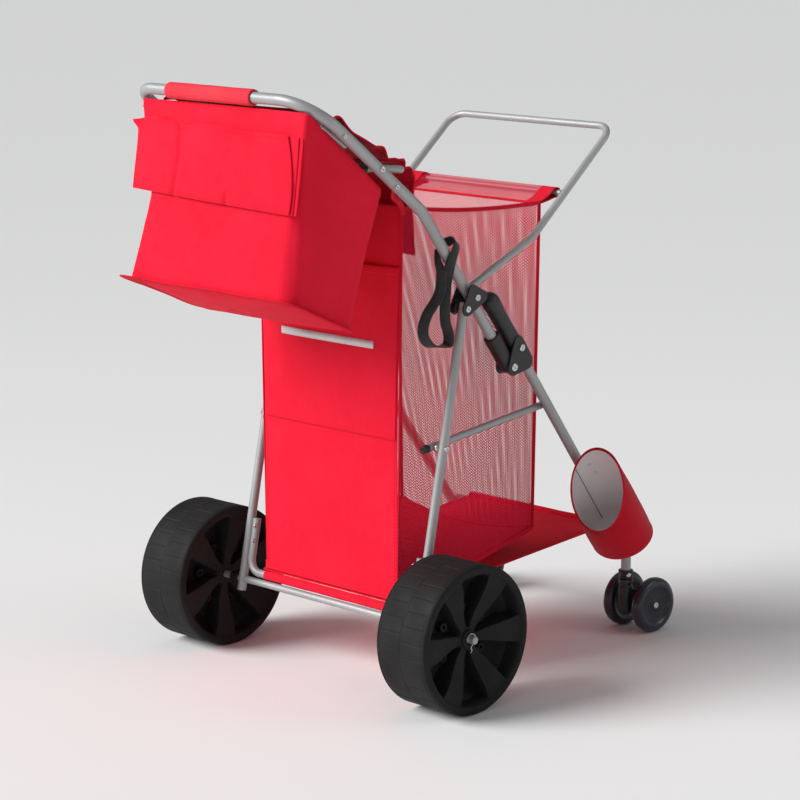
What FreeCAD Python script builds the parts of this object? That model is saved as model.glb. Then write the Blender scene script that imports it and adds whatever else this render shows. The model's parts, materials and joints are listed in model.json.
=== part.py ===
import FreeCAD, Part
import os
from math import atan2, cos, hypot, pi, sin, tan

import Sketcher

# A folding beach cart. The frame's X points to the cart's right, Y forward from the handle
# to the casters and Z up. The floor is Z = 0 and every "_y" cell is measured from the rear
# axle; cell axle_y then places that axle, so that the origin is under the cart's middle.

V = FreeCAD.Vector
SIDES = (("right", 1), ("left", -1))

CELLS = [
    # where the rear axle stands in the part's frame
    ("axle_y", -187.8),
    # main tube: one bent tube from fold joint to fold joint by way of the handle
    ("rail_x", 209.8), ("rail_radius", 9.5),
    ("handle_y", -234.4), ("handle_z", 1019.4), ("handle_bend", 75), ("left_bend", 40),
    ("knee_y", 15.4), ("knee_z", 826.3), ("knee_bend", 90),
    ("fold_y", 229), ("fold_z", 539.2), ("rail_past_fold", 9),
    ("grip_radius", 12), ("grip_from_x", -125), ("grip_length", 204),
    # pivots along the main tube, measured up from the fold pivot
    ("hoop_pivot_along", 165.1), ("leg_pivot_off", 28.6), ("tote_pivot_y", -85),
    # legs and braces
    ("rear_leg_x", 218), ("rear_leg_radius", 8), ("leg_past_axle", 21), ("leg_past_pivot", 10),
    ("front_leg_radius", 9), ("front_leg_off", 34), ("stem_y", 556), ("stem_bend", 60),
    ("stem_end_z", 104.5), ("leg_top_along", 118),
    ("brace_x", 193.6), ("brace_radius", 6.3), ("brace_rear_z", 422), ("brace_front_along", 132),
    ("brace_tail", 24), ("brace_nose", 9),
    # thin cross bars and the front hoop
    ("bar_radius", 5), ("bar_x", 194.8), ("lower_bar_radius", 7), ("bar_room_radius", 5.5),
    ("lower_bar_rise", 93), ("lower_bar_bend", 25), ("swing_bar_tail", 14), ("swing_cap_length", 12),
    ("swing_side_bend", 60), ("swing_corner", 22), ("hoop_side_bend", 120), ("hoop_tail", 9),
    ("rear_bar_y", -222), ("rear_bar_z", 992), ("rear_arm_y", -146), ("rear_arm_z", 943),
    ("rear_bar_bend", 28),
    ("swing_bar_radius", 6.5), ("swing_bar_x", 193.5), ("hoop_x", 191.3), ("hoop_radius", 6.5),
    ("hoop_bend_y", 310), ("hoop_bend_z", 751.5), ("hoop_top_y", 520.5), ("hoop_top_z", 928),
    ("hoop_corner", 30), ("bag_bar_y", 393.3), ("bag_bar_z", 820.9),
    ("lower_bar_z", 143), ("front_bar_y", 543), ("front_bar_z", 188),
    ("tote_bar_front_y", -5), ("tote_bar_z", 894.5),
    # pins
    ("pin_radius", 3), ("fold_pin_radius", 4), ("running_gap", 0.05),
    # rear wheels
    ("axle_radius", 6.35), ("axle_half", 349), ("wheel_radius", 127), ("wheel_width", 110.6),
    ("wheel_inner_x", 242.4), ("wheel_recess", 24), ("rim_radius", 112), ("hub_radius", 17),
    ("wheel_wall", 4.5), ("wheel_hole_radius", 9),
    ("spoke_count", 6), ("spacer_radius", 10.5), ("washer_radius", 12), ("washer_thick", 2),
    ("clip_ring_radius", 9.4), ("clip_wire_radius", 1.3),
    # casters
    ("caster_radius", 50.8), ("caster_width", 22), ("caster_gauge", 70), ("caster_trail", 36),
    ("caster_turn", -3), ("swivel_top_z", 101), ("collar_top_z", 117), ("collar_radius", 12.5),
    ("post_radius", 13.2), ("post_from_z", 38), ("stem_pin_radius", 5), ("arm_width", 26),
    ("caster_head_radius", 6), ("caster_head_height", 3),
    # soft goods
    ("cloth", 2.4), ("platform_half", 171), ("bag_half_top", 172), ("bag_half_bottom", 160),
    ("tote_half", 186.7), ("lid_half", 172), ("apron_half", 165),
    ("pocket_top_share", 0.118), ("pocket_bottom_share", 0.52), ("pocket_off", 3.5),
    ("pocket_side_gap", 3), ("tab_width", 20), ("tab_thick", 2),
    ("strap_band_thick", 3), ("strap_web", 3), ("strap_width", 14),
    ("cup_half_wide", 62), ("cup_half_deep", 50), ("cup_wall", 3),
    ("cup_along", 281.5), ("cup_off", -12.8), ("cup_mouth_tilt", 85.6),
    ("cup_above", 75), ("cup_below", 124),
]

doc = FreeCAD.newDocument("beach_cart")
sheet = doc.addObject("Spreadsheet::Sheet", "dims")
for row, (alias, value) in enumerate(CELLS, 1):
    sheet.set(f"A{row}", alias)
    sheet.set(f"B{row}", str(value))
    sheet.setAlias(f"B{row}", alias)
doc.recompute()

nodes = {}


def size(alias):
    return float(sheet.get(alias))


def at(x, y, z):
    """A point given from the floor under the middle of the rear axle."""
    return V(x, size("axle_y") + y, z)


def node(name, obj):
    """Name an object as one of the cart's sub-parts."""
    obj.Label = name
    nodes[name] = obj
    return obj


# ---------------------------------------------------------------- side-view geometry
# Pairs (y, z) in the cart's side view. ALONG runs down the main tube towards the fold
# joint, and OUT is square to it, towards the front.

FOLD = (size("fold_y"), size("fold_z"))
KNEE = (size("knee_y"), size("knee_z"))
HANDLE = (size("handle_y"), size("handle_z"))
rail_run = hypot(FOLD[0] - KNEE[0], FOLD[1] - KNEE[1])
ALONG = ((FOLD[0] - KNEE[0]) / rail_run, (FOLD[1] - KNEE[1]) / rail_run)
OUT = (-ALONG[1], ALONG[0])


def beside(start, along, out):
    """The point that lies along and out from another, in the lower main tube's directions."""
    return (
        start[0] + along * ALONG[0] + out * OUT[0],
        start[1] + along * ALONG[1] + out * OUT[1],
    )


def between(a, b, share):
    return (a[0] + (b[0] - a[0]) * share, a[1] + (b[1] - a[1]) * share)


def on_line_at(a, b, **want):
    """The point of line a-b with the wanted y or z."""
    axis = 0 if "y" in want else 1
    value = want["y"] if "y" in want else want["z"]
    return between(a, b, (value - a[axis]) / (b[axis] - a[axis]))


HOOP_PIVOT = beside(FOLD, -size("hoop_pivot_along"), 0)
LEG_PIVOT = beside(HOOP_PIVOT, 0, -size("leg_pivot_off"))
AXLE = (0.0, size("wheel_radius"))
TOTE_PIVOT = on_line_at(HANDLE, KNEE, y=size("tote_pivot_y"))
BRACE_REAR = on_line_at(AXLE, LEG_PIVOT, z=size("brace_rear_z"))
BRACE_FRONT = beside(FOLD, size("brace_front_along"), size("front_leg_off"))
LEG_TOP = beside(FOLD, -size("leg_top_along"), size("front_leg_off"))
STEM_TOP = on_line_at(LEG_TOP, BRACE_FRONT, y=size("stem_y"))


# ---------------------------------------------------------------- building blocks
def rounded_wire(points, radii):
    """Straight runs through the points, each inner corner rounded by a tangent arc."""
    edges = []
    start = points[0]
    for corner, after, radius in zip(points[1:-1], points[2:], radii):
        back = (start - corner).normalize()
        ahead = (after - corner).normalize()
        half = back.getAngle(ahead) / 2
        reach = radius / tan(half)
        first = corner + back * reach
        last = corner + ahead * reach
        bisector = (back + ahead).normalize()
        middle = corner + bisector * (radius / sin(half) - radius)
        edges.append(Part.makeLine(start, first))
        edges.append(Part.Arc(first, middle, last).toShape())
        start = last
    edges.append(Part.makeLine(start, points[-1]))
    return Part.Wire(edges)


def bent_tube(name, points, radii, radius_cell):
    """A round tube along straight runs and tangent bends."""
    path = doc.addObject("Part::Feature", name + "_path")
    path.Shape = rounded_wire(points, radii)
    section = doc.addObject("Part::Circle", name + "_section")
    section.setExpression("Radius", f"dims.{radius_cell}")
    section.Placement = FreeCAD.Placement(
        points[0], FreeCAD.Rotation(V(0, 0, 1), points[1] - points[0])
    )
    sweep = doc.addObject("Part::Sweep", name + "_sweep")
    sweep.Sections = [section]
    sweep.Spine = (path, [f"Edge{i + 1}" for i in range(len(path.Shape.Edges))])
    sweep.Solid = True
    return sweep


def straight_tube(name, start, end, radius_cell):
    """A round tube between two points."""
    tube = doc.addObject("Part::Cylinder", name)
    tube.setExpression("Radius", f"dims.{radius_cell}")
    tube.Height = (end - start).Length
    tube.Placement = FreeCAD.Placement(start, FreeCAD.Rotation(V(0, 0, 1), end - start))
    return tube


def cross_rod(name, spot, x_from, x_to, radius):
    """A round rod along X at a side-view point; its radius is a cell's expression."""
    rod = doc.addObject("Part::Cylinder", name)
    rod.setExpression("Radius", radius)
    rod.Height = x_to - x_from
    rod.Placement = FreeCAD.Placement(at(x_from, *spot), FreeCAD.Rotation(V(0, 0, 1), V(1, 0, 0)))
    return rod


def fused(name, parts):
    obj = doc.addObject("Part::MultiFuse", name)
    obj.Shapes = parts
    return obj


def cut(name, base, tools):
    """The base with every tool taken out of it."""
    obj = doc.addObject("Part::Cut", name)
    obj.Base = base
    obj.Tool = tools[0] if len(tools) == 1 else fused(name + "_tools", tools)
    return obj


def mirrored(name, source):
    """The same piece on the cart's left."""
    obj = doc.addObject("Part::Mirroring", name)
    obj.Source = source
    obj.Base = V(0, 0, 0)
    obj.Normal = V(1, 0, 0)
    return obj


def both_sides(stem, obj):
    """Name the right-hand piece and make its mirror image on the left."""
    node(stem + "_right", obj)
    node(stem + "_left", mirrored(stem + "_left", obj))


def hull_outline(circles):
    """The outline drawn tight around circles (y, z, radius) listed counter-clockwise."""
    parts = []
    tangents = []
    count = len(circles)
    for i, (y, z, r) in enumerate(circles):
        ny, nz, nr = circles[(i + 1) % count]
        span = hypot(ny - y, nz - z)
        heading = atan2(nz - z, ny - y)
        normal = heading - pi / 2 - atan2(nr - r, (span ** 2 - (nr - r) ** 2) ** 0.5)
        side = V(cos(normal), sin(normal), 0)
        tangents.append((V(y, z, 0) + side * r, V(ny, nz, 0) + side * nr, normal))
    for i, (y, z, r) in enumerate(circles):
        leave, arrive, normal = tangents[i]
        parts.append(Part.LineSegment(leave, arrive))
        ny, nz, nr = circles[(i + 1) % count]
        turn = (tangents[(i + 1) % count][2] - normal) % (2 * pi)
        ring = Part.Circle(V(ny, nz, 0), V(0, 0, 1), nr)
        if turn > 1e-6:
            parts.append(Part.ArcOfCircle(ring, normal, normal + turn))
    return parts


def polygon(points):
    """A closed outline of straight edges."""
    spots = [V(y, z, 0) for y, z in points]
    return [Part.LineSegment(a, b) for a, b in zip(spots, spots[1:] + spots[:1])]


def sketch_in(body, name, role, outline, offset=0):
    """A sketch on one of the body's origin planes, moved along the plane's normal."""
    sketch = body.newObject("Sketcher::SketchObject", name)
    plane = next(f for f in body.Origin.OriginFeatures if f.Role == role)
    sketch.AttachmentSupport = [(plane, "")]
    sketch.MapMode = "FlatFace"
    sketch.AttachmentOffset = FreeCAD.Placement(V(0, 0, offset), FreeCAD.Rotation())
    sketch.addGeometry(outline, False)
    return sketch


def plate(name, outline, x_from, thickness):
    """A flat piece whose outline is drawn in the side view, thickened towards +X."""
    body = doc.addObject("PartDesign::Body", name)
    sketch = sketch_in(body, name + "_sketch", "YZ_Plane", outline)
    count = len(outline)
    for i in range(count):
        sketch.addConstraint(Sketcher.Constraint("Coincident", i, 2, (i + 1) % count, 1))
    pad = body.newObject("PartDesign::Pad", name + "_pad")
    pad.Profile = sketch
    pad.setExpression("Length", f"{thickness}")
    body.Placement = FreeCAD.Placement(at(x_from, 0, 0), FreeCAD.Rotation())
    return body


def pin_hole(name, spot, x_from, x_to, radius_cell="pin_radius"):
    return cross_rod(name, spot, x_from, x_to, f"dims.{radius_cell} + dims.running_gap")


def rivet(name, spot, x_from, x_to, radius_cell="pin_radius", head=3, head_height=2):
    """A pin along X with a wider head at each end; the shaft spans x_from to x_to."""
    shaft = cross_rod(name + "_shaft", spot, x_from, x_to, f"dims.{radius_cell}")
    wide = f"dims.{radius_cell} + {head}"
    inner = cross_rod(name + "_inner_head", spot, x_from - head_height, x_from, wide)
    outer = cross_rod(name + "_outer_head", spot, x_to, x_to + head_height, wide)
    return fused(name, [shaft, inner, outer])


# ---------------------------------------------------------------- main tube and grip
def main_tube():
    rail_x = size("rail_x")
    low = beside(FOLD, size("rail_past_fold"), 0)
    right = [at(rail_x, *low), at(rail_x, *KNEE), at(rail_x, *HANDLE)]
    left = [V(-p.x, p.y, p.z) for p in reversed(right)]
    radii = [size("knee_bend"), size("handle_bend"), size("left_bend"), size("knee_bend")]
    tube = bent_tube("main_tube", right + left, radii, "rail_radius")
    holes = []
    for side, sign in SIDES:
        middle = sign * rail_x
        for what, spot, cell in (
            ("hoop", HOOP_PIVOT, "pin_radius"),
            ("fold", FOLD, "fold_pin_radius"),
            ("tote", TOTE_PIVOT, "pin_radius"),
        ):
            name = f"rail_{what}_hole_{side}"
            holes.append(pin_hole(name, spot, middle - 15, middle + 15, cell))
    node("main_tube", cut("main_tube", tube, holes))


def hand_grip():
    spot = HANDLE
    start = size("grip_from_x")
    end = start + size("grip_length")
    foam = cross_rod("grip_foam", spot, start, end, "dims.grip_radius")
    bore = cross_rod("grip_bore", spot, start - 1, end + 1, "dims.rail_radius + dims.running_gap")
    node("hand_grip", cut("hand_grip", foam, [bore]))


# ---------------------------------------------------------------- pivot brackets
OUTER_PLATE_X = 226.5
OUTER_PLATE_THICK = 3.5
INNER_PLATE_X = 198.2
INNER_PLATE_THICK = 1.8


def brackets():
    """Two plates beside each main tube; the rear leg hangs between them on its pin."""
    around = [
        (*LEG_PIVOT, 12.5), (*beside(HOOP_PIVOT, 8, 12), 10), (*beside(HOOP_PIVOT, -18, 0), 9),
    ]
    outer = plate("bracket_outer", hull_outline(around), OUTER_PLATE_X, OUTER_PLATE_THICK)
    inner = plate("bracket_inner", hull_outline(around), INNER_PLATE_X, INNER_PLATE_THICK)
    rail_x = size("rail_x")
    rail_boss = cross_rod("bracket_rail_boss", HOOP_PIVOT, rail_x, OUTER_PLATE_X + 1, "8")
    leg_boss = cross_rod("bracket_leg_boss", LEG_PIVOT, INNER_PLATE_X + 1, 209.6, "9")
    tie_spot = beside(HOOP_PIVOT, 8, 16)
    tie = cross_rod("bracket_tie", tie_spot, INNER_PLATE_X + 1, OUTER_PLATE_X + 1, "5")
    solid = fused("bracket_solid", [outer, inner, rail_boss, leg_boss, tie])
    ends = [at(rail_x, *beside(HOOP_PIVOT, s, 0)) for s in (-45, 45)]
    rail_space = straight_tube("bracket_rail_space", *ends, "rail_radius")
    rail_space.setExpression("Radius", "dims.rail_radius + dims.running_gap")
    holes = [
        rail_space,
        pin_hole("bracket_hoop_hole", HOOP_PIVOT, 190, 240),
        pin_hole("bracket_leg_hole", LEG_PIVOT, 190, 240),
    ]
    both_sides("bracket", cut("bracket_right", solid, holes))
    plate_end = OUTER_PLATE_X + OUTER_PLATE_THICK + 0.1
    leg_pin = rivet("leg_pin_right", LEG_PIVOT, INNER_PLATE_X - 0.1, plate_end, head_height=1.5)
    both_sides("leg_pin", leg_pin)
    hoop_inner = size("hoop_x") - size("hoop_radius") - 0.2
    both_sides("hoop_pin", rivet("hoop_pin_right", HOOP_PIVOT, hoop_inner, plate_end))


# ---------------------------------------------------------------- fold joints
JOINT_X = 197.8
JOINT_WIDTH = 24.0
JOINT_ROUND = 13.5
SLEEVE_LENGTH = 72
LEVER_LENGTH = 125
LEVER_NOSE = 12
CHEEK_BACK = 26
CHEEK_ROUND = 15
WEB_ROUND = 9
CHEEK_THICK = 3.5
CHEEK_GAP = 0.4


def fold_sleeves():
    """A moulded sleeve round each lower end of the main tube, round at the fold pivot."""
    outline = hull_outline([(*beside(FOLD, -SLEEVE_LENGTH, 0), JOINT_ROUND), (*FOLD, JOINT_ROUND)])
    block = plate("sleeve_block", outline, JOINT_X, JOINT_WIDTH)
    rail_x = size("rail_x")
    ends = [at(rail_x, *beside(FOLD, s, 0)) for s in (-100, size("rail_past_fold") + 0.1)]
    bore = straight_tube("sleeve_bore", *ends, "rail_radius")
    bore.setExpression("Radius", "dims.rail_radius + dims.running_gap")
    hole = pin_hole("sleeve_pin_hole", FOLD, 190, 230, "fold_pin_radius")
    both_sides("fold_sleeve", cut("fold_sleeve_right", block, [bore, hole]))


def leg_housings():
    """The front leg's moulded housing: a long lever above and two cheeks round the sleeve."""
    off = size("front_leg_off")
    back, nose = beside(FOLD, -CHEEK_BACK, off), beside(FOLD, LEVER_NOSE, off)
    lever_end = beside(FOLD, -LEVER_LENGTH, off)
    lever = hull_outline([(*lever_end, JOINT_ROUND), (*nose, JOINT_ROUND)])
    block = plate("housing_lever", lever, JOINT_X, JOINT_WIDTH)
    cheek = hull_outline(
        [(*back, JOINT_ROUND), (*FOLD, CHEEK_ROUND), (*nose, JOINT_ROUND)]
    )
    inner_x = JOINT_X - CHEEK_GAP - CHEEK_THICK
    outer_x = JOINT_X + JOINT_WIDTH + CHEEK_GAP
    inner = plate("housing_inner_cheek", cheek, inner_x, CHEEK_THICK)
    outer = plate("housing_outer_cheek", cheek, outer_x, CHEEK_THICK)
    web_outline = hull_outline([(*back, WEB_ROUND), (*nose, WEB_ROUND)])
    web = plate("housing_web", web_outline, inner_x, outer_x + CHEEK_THICK - inner_x)
    rail_x = size("rail_x")
    ends = [at(rail_x, *LEG_TOP), at(rail_x, *beside(FOLD, 60, off))]
    bore = straight_tube("housing_bore", *ends, "front_leg_radius")
    bore.setExpression("Radius", "dims.front_leg_radius + dims.running_gap")
    hole = pin_hole("housing_pin_hole", FOLD, inner_x - 1, outer_x + 5, "fold_pin_radius")
    solid = fused("housing_solid", [block, web, inner, outer])
    both_sides("leg_housing", cut("leg_housing_right", solid, [bore, hole]))
    shaft_ends = (inner_x - 0.1, outer_x + CHEEK_THICK + 0.1)
    pin = rivet("fold_pin_right", FOLD, *shaft_ends, "fold_pin_radius", 3.5)
    both_sides("fold_pin", pin)


# ---------------------------------------------------------------- front legs
def front_legs():
    rail_x = size("rail_x")
    points = [at(rail_x, *LEG_TOP), at(rail_x, *STEM_TOP)]
    points.append(at(rail_x, size("stem_y"), size("stem_end_z")))
    points[0] = points[0] + (points[1] - points[0]).normalize() * 0.3
    tube = bent_tube("front_leg", points, [size("stem_bend")], "front_leg_radius")
    both_sides("front_leg", tube)
    reach = rail_x - size("front_leg_radius") - 0.1
    spot = (size("front_bar_y"), size("front_bar_z"))
    node("front_bar", cross_rod("front_bar", spot, -reach, reach, "dims.bar_radius"))


def upright(name, x, y, z_from, z_to, radius):
    """A round post along Z; its radius is a cell's expression."""
    post = doc.addObject("Part::Cylinder", name)
    post.setExpression("Radius", radius)
    post.Height = z_to - z_from
    post.Placement = FreeCAD.Placement(at(x, y, z_from), FreeCAD.Rotation())
    return post


STEM_PIN_LOW = 62


def stem_collars():
    """The plug at the foot of each front leg, with the stem that the caster turns on."""
    x, y = size("rail_x"), size("stem_y")
    low = size("swivel_top_z") + 0.5
    top = size("collar_top_z")
    cup = upright("collar_cup", x, y, low, top, "dims.collar_radius")
    socket = "dims.front_leg_radius + dims.running_gap"
    bore = upright("collar_bore", x, y, size("stem_end_z"), top + 1, socket)
    stem = upright("collar_stem", x, y, STEM_PIN_LOW, low + 1, "dims.stem_pin_radius")
    both_sides("stem_collar", cut("stem_collar_right", fused("collar_solid", [cup, stem]), [bore]))


# ---------------------------------------------------------------- rear legs and axle
def rear_legs():
    x = size("rear_leg_x")
    span = hypot(LEG_PIVOT[0] - AXLE[0], LEG_PIVOT[1] - AXLE[1])
    foot = between(AXLE, LEG_PIVOT, -size("leg_past_axle") / span)
    head = between(AXLE, LEG_PIVOT, 1 + size("leg_past_pivot") / span)
    tube = straight_tube("rear_leg_tube", at(x, *foot), at(x, *head), "rear_leg_radius")
    holes = [
        pin_hole("leg_pivot_hole", LEG_PIVOT, x - 15, x + 15),
        pin_hole("leg_brace_hole", BRACE_REAR, x - 15, x + 15),
        pin_hole("leg_axle_hole", AXLE, x - 15, x + 15, "axle_radius"),
    ]
    both_sides("rear_leg", cut("rear_leg_right", tube, holes))
    half = size("axle_half")
    node("axle", cross_rod("axle", AXLE, -half, half, "dims.axle_radius"))


def lower_bar():
    """The thin U under the bag: its ends lie against the inner faces of the rear legs."""
    x = size("rear_leg_x") - size("rear_leg_radius") - size("lower_bar_radius") - 0.3
    low = on_line_at(AXLE, LEG_PIVOT, z=size("lower_bar_z"))
    high = on_line_at(AXLE, LEG_PIVOT, z=size("lower_bar_z") + size("lower_bar_rise"))
    points = [at(x, *high), at(x, *low), at(-x, *low), at(-x, *high)]
    bends = [size("lower_bar_bend")] * 2
    node("lower_bar", bent_tube("lower_bar", points, bends, "lower_bar_radius"))


def hub_spacers_and_clips():
    leg_face = size("rear_leg_x") + size("rear_leg_radius") + 0.2
    wheel_face = size("wheel_inner_x") - 0.3
    tube = cross_rod("spacer_tube", AXLE, leg_face, wheel_face, "dims.spacer_radius")
    bore = pin_hole("spacer_bore", AXLE, leg_face - 1, wheel_face + 1, "axle_radius")
    both_sides("hub_spacer", cut("hub_spacer_right", tube, [bore]))
    clip_x = size("wheel_inner_x") + size("wheel_width") - size("wheel_recess") + 2.3
    clip_end = clip_x + size("washer_thick")
    washer = cross_rod("clip_washer", AXLE, clip_x, clip_end, "dims.washer_radius")
    ring = doc.addObject("Part::Torus", "clip_ring")
    ring.Radius1 = size("clip_ring_radius")
    ring.Radius2 = size("clip_wire_radius")
    upright_ring = FreeCAD.Rotation(V(0, 0, 1), V(1, 0, 0))
    ring.Placement = FreeCAD.Placement(at(clip_end + 0.8, *AXLE), upright_ring)
    hole = pin_hole("clip_bore", AXLE, clip_x - 1, clip_x + 5, "axle_radius")
    solid = fused("clip_solid", [washer, ring])
    both_sides("axle_clip", cut("axle_clip_right", solid, [hole]))


# ---------------------------------------------------------------- braces
def braces():
    x = size("brace_x")
    span = hypot(BRACE_FRONT[0] - BRACE_REAR[0], BRACE_FRONT[1] - BRACE_REAR[1])
    tail = between(BRACE_REAR, BRACE_FRONT, -size("brace_tail") / span)
    nose = between(BRACE_REAR, BRACE_FRONT, 1 + size("brace_nose") / span)
    tube = straight_tube("brace_tube", at(x, *tail), at(x, *nose), "brace_radius")
    hole = pin_hole("brace_hole", BRACE_REAR, x - 12, x + 12)
    both_sides("brace", cut("brace_right", tube, [hole]))
    shaft_from = x - size("brace_radius") - 0.2
    leg_face = size("rear_leg_x") + size("rear_leg_radius")
    pin = rivet("brace_pin_rivet", BRACE_REAR, shaft_from, leg_face + 0.1)
    spacer_from = x + size("brace_radius") + 0.3
    spacer_to = size("rear_leg_x") - size("rear_leg_radius") - 0.3
    spacer = cross_rod("brace_pin_spacer", BRACE_REAR, spacer_from, spacer_to, "7")
    both_sides("brace_pin", fused("brace_pin_right", [pin, spacer]))


# ---------------------------------------------------------------- front hoop
def front_hoop():
    x = size("hoop_x")
    bend = (size("hoop_bend_y"), size("hoop_bend_z"))
    top = (size("hoop_top_y"), size("hoop_top_z"))
    span = hypot(bend[0] - HOOP_PIVOT[0], bend[1] - HOOP_PIVOT[1])
    start = between(HOOP_PIVOT, bend, -size("hoop_tail") / span)
    right = [at(x, *start), at(x, *bend), at(x, *top)]
    left = [V(-p.x, p.y, p.z) for p in reversed(right)]
    corner, side_bend = size("hoop_corner"), size("hoop_side_bend")
    bends = [side_bend, corner, corner, side_bend]
    tube = bent_tube("hoop", right + left, bends, "hoop_radius")
    holes = [
        pin_hole(f"hoop_hole_{side}", HOOP_PIVOT, sign * x - 10, sign * x + 10)
        for side, sign in SIDES
    ]
    node("front_hoop", cut("front_hoop", tube, holes))
    reach = x - size("hoop_radius") - 0.1
    spot = (size("bag_bar_y"), size("bag_bar_z"))
    node("bag_front_bar", cross_rod("bag_front_bar", spot, -reach, reach, "dims.bar_radius"))


# ---------------------------------------------------------------- tote bars
def rear_bar_tube(name, radius_cell):
    """The tote's rear bar: across behind the handle, then down each side of the rim."""
    x = size("bar_x")
    rear = (size("rear_bar_y"), size("rear_bar_z"))
    arm = (size("rear_arm_y"), size("rear_arm_z"))
    points = [at(x, *arm), at(x, *rear), at(-x, *rear), at(-x, *arm)]
    return bent_tube(name, points, [size("rear_bar_bend")] * 2, radius_cell)


def tote_bars():
    x = size("swing_bar_x")
    front = (size("tote_bar_front_y"), size("tote_bar_z"))
    behind = (TOTE_PIVOT[0] - size("swing_bar_tail"), TOTE_PIVOT[1])
    right = [at(x, *behind), at(x, *TOTE_PIVOT), at(x, *front)]
    left = [V(-p.x, p.y, p.z) for p in reversed(right)]
    bend, corner = size("swing_side_bend"), size("swing_corner")
    bends = [bend, corner, corner, bend]
    tube = bent_tube("swing_bar_tube", right + left, bends, "swing_bar_radius")
    holes = [
        pin_hole(f"swing_bar_hole_{side}", TOTE_PIVOT, sign * x - 9, sign * x + 9)
        for side, sign in SIDES
    ]
    node("swing_bar", cut("swing_bar", tube, holes))
    cap_front = (behind[0] - 0.1, behind[1])
    cap_back = (behind[0] - size("swing_cap_length"), behind[1])
    cap = straight_tube("swing_bar_cap", at(x, *cap_front), at(x, *cap_back), "swing_bar_radius")
    both_sides("swing_bar_cap", cap)
    head_from = x - size("swing_bar_radius") - 0.2
    head_to = size("rail_x") + size("rail_radius") + 0.1
    both_sides("tote_pin", rivet("tote_pin_right", TOTE_PIVOT, head_from, head_to))
    node("tote_rear_bar", rear_bar_tube("tote_rear_bar", "bar_radius"))


# ---------------------------------------------------------------- rear wheels
def rounded_loop(points, radii):
    """A closed outline through flat points, with each corner rounded by its radius."""
    count = len(points)
    ends = []
    for i, (corner, radius) in enumerate(zip(points, radii)):
        spot = V(*corner, 0)
        back = (V(*points[i - 1], 0) - spot).normalize()
        ahead = (V(*points[(i + 1) % count], 0) - spot).normalize()
        if not radius:
            ends.append((spot, None, spot))
            continue
        half = back.getAngle(ahead) / 2
        reach = radius / tan(half)
        middle = spot + (back + ahead).normalize() * (radius / sin(half) - radius)
        ends.append((spot + back * reach, middle, spot + ahead * reach))
    parts = []
    for i, (first, middle, last) in enumerate(ends):
        if middle is not None:
            parts.append(Part.Arc(first, middle, last))
        parts.append(Part.LineSegment(last, ends[(i + 1) % count][0]))
    return parts


def turned_body(name, outline):
    """A body turned about its own X from an outline drawn in the XY plane."""
    body = doc.addObject("PartDesign::Body", name)
    sketch = sketch_in(body, name + "_profile", "XY_Plane", outline)
    turned = body.newObject("PartDesign::Revolution", name + "_turned")
    turned.Profile = sketch
    turned.ReferenceAxis = (sketch, ["H_Axis"])
    turned.Angle = 360
    return body, sketch


def rear_wheels():
    """A wide hollow moulded wheel: dished faces, a hub, and six holes round the outer face."""
    width, radius = size("wheel_width"), size("wheel_radius")
    recess, rim, hub = size("wheel_recess"), size("rim_radius"), size("hub_radius")
    wall = size("wheel_wall")
    bore = size("axle_radius") + size("running_gap")
    outer_web = width - recess
    outside = [
        (recess, bore), (outer_web, bore), (outer_web, rim), (width, rim),
        (width, radius), (0, radius), (0, rim), (recess, rim),
    ]
    outside_radii = [0, 0, 5, 3, 5, 5, 3, 5]
    inside = [
        (recess + wall, hub), (outer_web - wall, hub), (outer_web - wall, rim + wall),
        (width - wall, rim + wall), (width - wall, radius - wall), (wall, radius - wall),
        (wall, rim + wall), (recess + wall, rim + wall),
    ]
    inside_radii = [2, 2, 1, 1, 3, 3, 1, 1]
    for side, sign in SIDES:
        name = f"rear_wheel_{side}"
        outline = rounded_loop(outside, outside_radii) + rounded_loop(inside, inside_radii)
        body, sketch = turned_body(name, outline)
        doc.recompute()
        circle = Part.Circle(V((hub + rim) / 2, 0, 0), V(0, 0, 1), size("wheel_hole_radius"))
        hole_sketch = sketch_in(body, name + "_hole_profile", "YZ_Plane", [circle], outer_web)
        hole = body.newObject("PartDesign::Pocket", name + "_hole")
        hole.Profile = hole_sketch
        hole.setExpression("Length", "dims.wheel_wall + 1")
        doc.recompute()
        ring = body.newObject("PartDesign::PolarPattern", name + "_holes")
        ring.Originals = [hole]
        ring.Axis = (sketch, ["H_Axis"])
        ring.Angle = 360
        ring.Occurrences = int(size("spoke_count"))
        body.Tip = ring
        turn = FreeCAD.Rotation() if sign > 0 else FreeCAD.Rotation(V(0, 0, 1), 180)
        body.Placement = FreeCAD.Placement(at(sign * size("wheel_inner_x"), *AXLE), turn)
        node(name, body)


# ---------------------------------------------------------------- casters
def caster_frame(sign):
    """Where a caster stands: its swivel axis on the floor, turned by its resting angle."""
    turn = FreeCAD.Rotation(V(0, 0, 1), size("caster_turn"))
    return FreeCAD.Placement(at(sign * size("rail_x"), size("stem_y"), 0), turn)


def along_local_x(name, placement, y, z, x_from, x_to, radius):
    rod = doc.addObject("Part::Cylinder", name)
    rod.setExpression("Radius", radius)
    rod.Height = x_to - x_from
    local = FreeCAD.Placement(V(x_from, y, z), FreeCAD.Rotation(V(0, 0, 1), V(1, 0, 0)))
    rod.Placement = placement.multiply(local)
    return rod


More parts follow.
